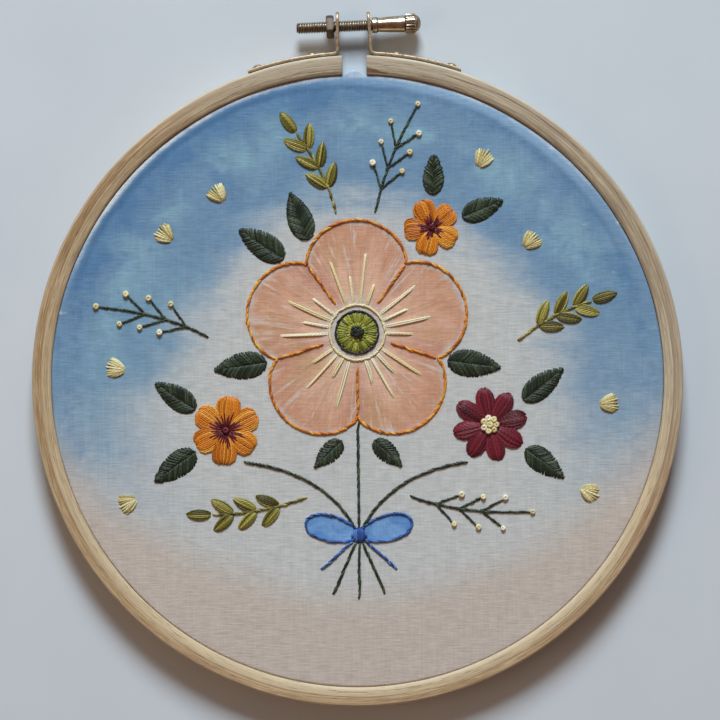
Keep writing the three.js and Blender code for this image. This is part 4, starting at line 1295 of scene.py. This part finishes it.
# Fishbone: stitches from the two edges in turn slant back to the midrib and just cross it.
def makeLeaf(i, x, y, aim, length, width):
    dice = diceFor("leaf", i)
    count = int(length / (leafLook["thread"] * leafLook["apart"]))
    t = np.linspace(*leafLook["ends"], count)
    edge = bladeEdge("leaf", length, width, t)
    jag = dice.uniform(*leafLook["jag"], count)
    side = np.where(np.arange(count) % 2, 1, -1)
    outer = np.stack([edge[:, 0] + jag, side * (edge[:, 1] + leafLook["jagWide"] * jag)], -1)
    back = edge[:, 0] - leafLook["slant"] * edge[:, 1] - leafLook["back"]
    rib = np.stack([np.maximum(back, leafLook["least"]), -side * leafLook["over"]], -1)
    both = (np.concatenate([points, points * [1, -1]]) for points in (outer, rib))
    starts, ends = (turned(points, aim, (x, y)) for points in both)
    plan = straightStitches(starts, ends, np.concatenate([side, -side]) * leafLook["bow"])
    rise = leafLook["rise"] + leafLook["riseToTip"] * np.concatenate([t, t])
    stitchPiece(f"leaf_{i}", [laid(plan, leafLook["thread"], rise, dice, leafLook["shades"])], "green")


for i, place in enumerate(leafPlaces):
    makeLeaf(i + 1, *place)
print("bloom, flowers and leaves stitched")

leafSprigs = [
    {"x": -6, "y": 52, "aim": 104, "length": 28, "bend": 12, "pairs": 3},
    {"x": 50, "y": 12, "aim": 40, "length": 26, "bend": -12, "pairs": 3},
    {"x": -16, "y": -36, "aim": 200, "length": 30, "bend": -10, "pairs": 3},
]
knotSprigs = [
    {"x": 6, "y": 52, "aim": 78, "length": 28, "bend": -8, "pairs": 3},
    {"x": -46, "y": 14, "aim": 152, "length": 28, "bend": 10, "pairs": 3},
    {"x": 16, "y": -36, "aim": -20, "length": 30, "bend": 10, "pairs": 3},
]
sprigLeaf = {
    "length": 8.5, "width": 3.6, "splay": 36, "nearest": 0.3, "furthest": 0.78,
    "count": 6, "thread": 0.68, "crown": 0.25, "rope": 0.9,
}
sprigTwig = {
    "length": 8.5, "splay": 34, "nearest": 0.28, "furthest": 0.76, "ends": (-0.08, 0.93),
    "rope": 0.85, "twigRope": 0.75,
}


# A stem is a quadratic curve from its foot, through half its length at its aim, to its length at aim + bend.
def sprigStem(row, share):
    foot = middleOf(row)
    middle = foot + row["length"] / 2 * heading(row["aim"])
    return bezier([foot, middle, foot + row["length"] * heading(row["aim"] + row["bend"])], share)


# places and aims of the pieces that leave a stem: pairs to both sides, and one at its end
def offshoots(row, look):
    share = np.linspace(look["nearest"], look["furthest"], row["pairs"])
    share = np.concatenate([share, share, [1]])
    nudge = 1e-3
    ahead = sprigStem(row, share + nudge) - sprigStem(row, share - nudge)
    splay = look["splay"] * np.repeat([-1, 1, 0], [row["pairs"], row["pairs"], 1])
    return sprigStem(row, share), np.degrees(np.arctan2(ahead[:, 1], ahead[:, 0])) + splay


def makeLeafSprig(row, i):
    dice = diceFor("leafSprig", i)
    sets = [stemStitch(sprigStem(row, evenly("sprig")), dice, sprigLeaf["rope"])]
    for foot, aim in zip(*offshoots(row, sprigLeaf)):
        blade = {**sprigLeaf, "x": foot[0], "y": foot[1], "aim": aim}
        sets.append(lengthwise("sprig", blade, sprigLeaf, dice))
    stitchPiece(f"leaf_sprig_{i}", sets, "olive")


def makeKnotSprig(row, i):
    dice = diceFor("knotSprig", i)
    sets = [stemStitch(sprigStem(row, evenly("sprig")), dice, sprigTwig["rope"])]
    feet, aims = offshoots(row, sprigTwig)
    tips = feet + sprigTwig["length"] * heading(aims)
    for foot, tip in zip(feet, tips):  # from just behind the stem to just under the knot
        twig = foot + (tip - foot) * np.linspace(*sprigTwig["ends"], routeSteps["twig"])[:, None]
        sets.append(stemStitch(twig, dice, sprigTwig["twigRope"]))
    stitchPiece(f"knot_sprig_{i}", sets, "green")
    frenchKnots(f"knots_{i}", tips, dice, "cream")


for i, row in enumerate(leafSprigs):
    makeLeafSprig(row, i + 1)
for i, row in enumerate(knotSprigs):
    makeKnotSprig(row, i + 1)

budPlaces = [  # foot and aim of each
    (-41, 56, 128), (-57, 44, 140), (38, 66, 58), (-72, 4, 170),
    (75, -8, 5), (69, -34, 335), (-69, -36, 207), (52, 41, 40),
]
bud = {
    "length": 6.4, "width": 6, "open": 0.42, "reach": (0.9, 1.04), "footUp": 0.2, "footHalf": 0.45,
    "count": 13, "thread": 0.78, "bow": 0.25, "rise": 0.32, "crown": 0.25, "shades": (0.2, 0.9), "slim": 0.4,
}


# A fan of straight stitches from the bud's foot to its outer edge.
def makeBud(i, x, y, aim):
    dice = diceFor("bud", i)
    share = np.linspace(-1, 1, bud["count"])
    edge = bladeEdge("bud", bud["length"], bud["width"], 1 - bud["open"] * np.abs(share))
    reach = dice.uniform(*bud["reach"], (bud["count"], 1))
    ends = np.stack([edge[:, 0], np.sign(share) * edge[:, 1]], -1) * reach
    starts = np.stack([bud["footUp"] + 0 * share, bud["footHalf"] * share], -1)
    starts, ends = (turned(points, aim, (x, y)) for points in (starts, ends))
    plan = straightStitches(starts, ends, bud["bow"] * share)
    rise = bud["rise"] + bud["crown"] * (1 - np.abs(share))
    stitchPiece(f"bud_{i}", [laid(plan, bud["thread"], rise, dice, bud["shades"], bud["slim"])], "butter")


for i, place in enumerate(budPlaces):
    makeBud(i + 1, *place)

stems = [
    {"x": 0, "y": -12.6, "leave": 90, "foot": 270},
    {"x": 34, "y": -25.5, "leave": 62, "foot": 246},
    {"x": -35.5, "y": -25, "leave": 118, "foot": 294},
]


# Stems run from the tie to the blooms as quadratic curves, and straight on below it as cut feet.
def makeStems():
    dice = diceFor("stems")
    centre = middleOf(tie)
    above, below = [], []
    for row in stems:
        start, end = centre + tie["gap"] * heading(row["leave"]), middleOf(row)
        middle = start + np.linalg.norm(end - start) / 2 * heading(row["leave"])
        above.append(stemStitch(bezier([start, middle, end], evenly("stem")), dice))
        reach = np.linspace(tie["gap"], tie["foot"], routeSteps["line"])[:, None]
        below.append(stemStitch(centre + reach * heading(row["foot"]), dice))
    stitchPiece("stems_above", above, "green")
    stitchPiece("stems_below", below, "green")


# A bow's loop is a drop: along goes by (1 - cos) / 2 and across by a sine that widens with it.
def loopRoute(aim, share):
    turn = 2 * np.pi * share
    along = (1 - np.cos(turn)) / 2
    across = loopHalf(along, np.sin(turn))
    return turned(np.stack([along * bow["loop"], across * bow["loopWidth"]], -1), aim, middleOf(tie))


def makeBow():
    dice = diceFor("bow")
    centre = middleOf(tie)
    lines = []
    aims = (bow["loopAim"], bow["tailAim"])
    for loopAim, tailAim in (aims, [180 - aim for aim in aims]):
        lines.append(stemStitch(loopRoute(loopAim, evenly("loop")), dice, bow["loopRope"]))
        tail = np.linspace(bow["tailStart"], bow["tail"], routeSteps["line"])[:, None]
        tail = centre + tail * heading(tailAim)
        lines.append(stemStitch(tail, dice, bow["tailRope"]))
    across = np.linspace(-1, 1, bow["knotStitches"])
    knotTop = bow["knot"] / 2 * np.sqrt(bow["knotRound"] - across ** 2)
    top = centre + np.stack([across * bow["knot"] * bow["knotWide"], knotTop], -1)
    bars = straightStitches(top, 2 * centre - top[::-1], bow["knotBow"])
    lines.append(laid(bars, bow["knotThread"], bow["knotRise"], dice))
    stitchPiece("bow", lines, "blue")


makeStems()
makeBow()

# the round was cut to lie over the inner ring and down between the rings
cut = 2 * (clothOutside + clothFace - clothTrim) * mm
math.pi * cut * cut / 4
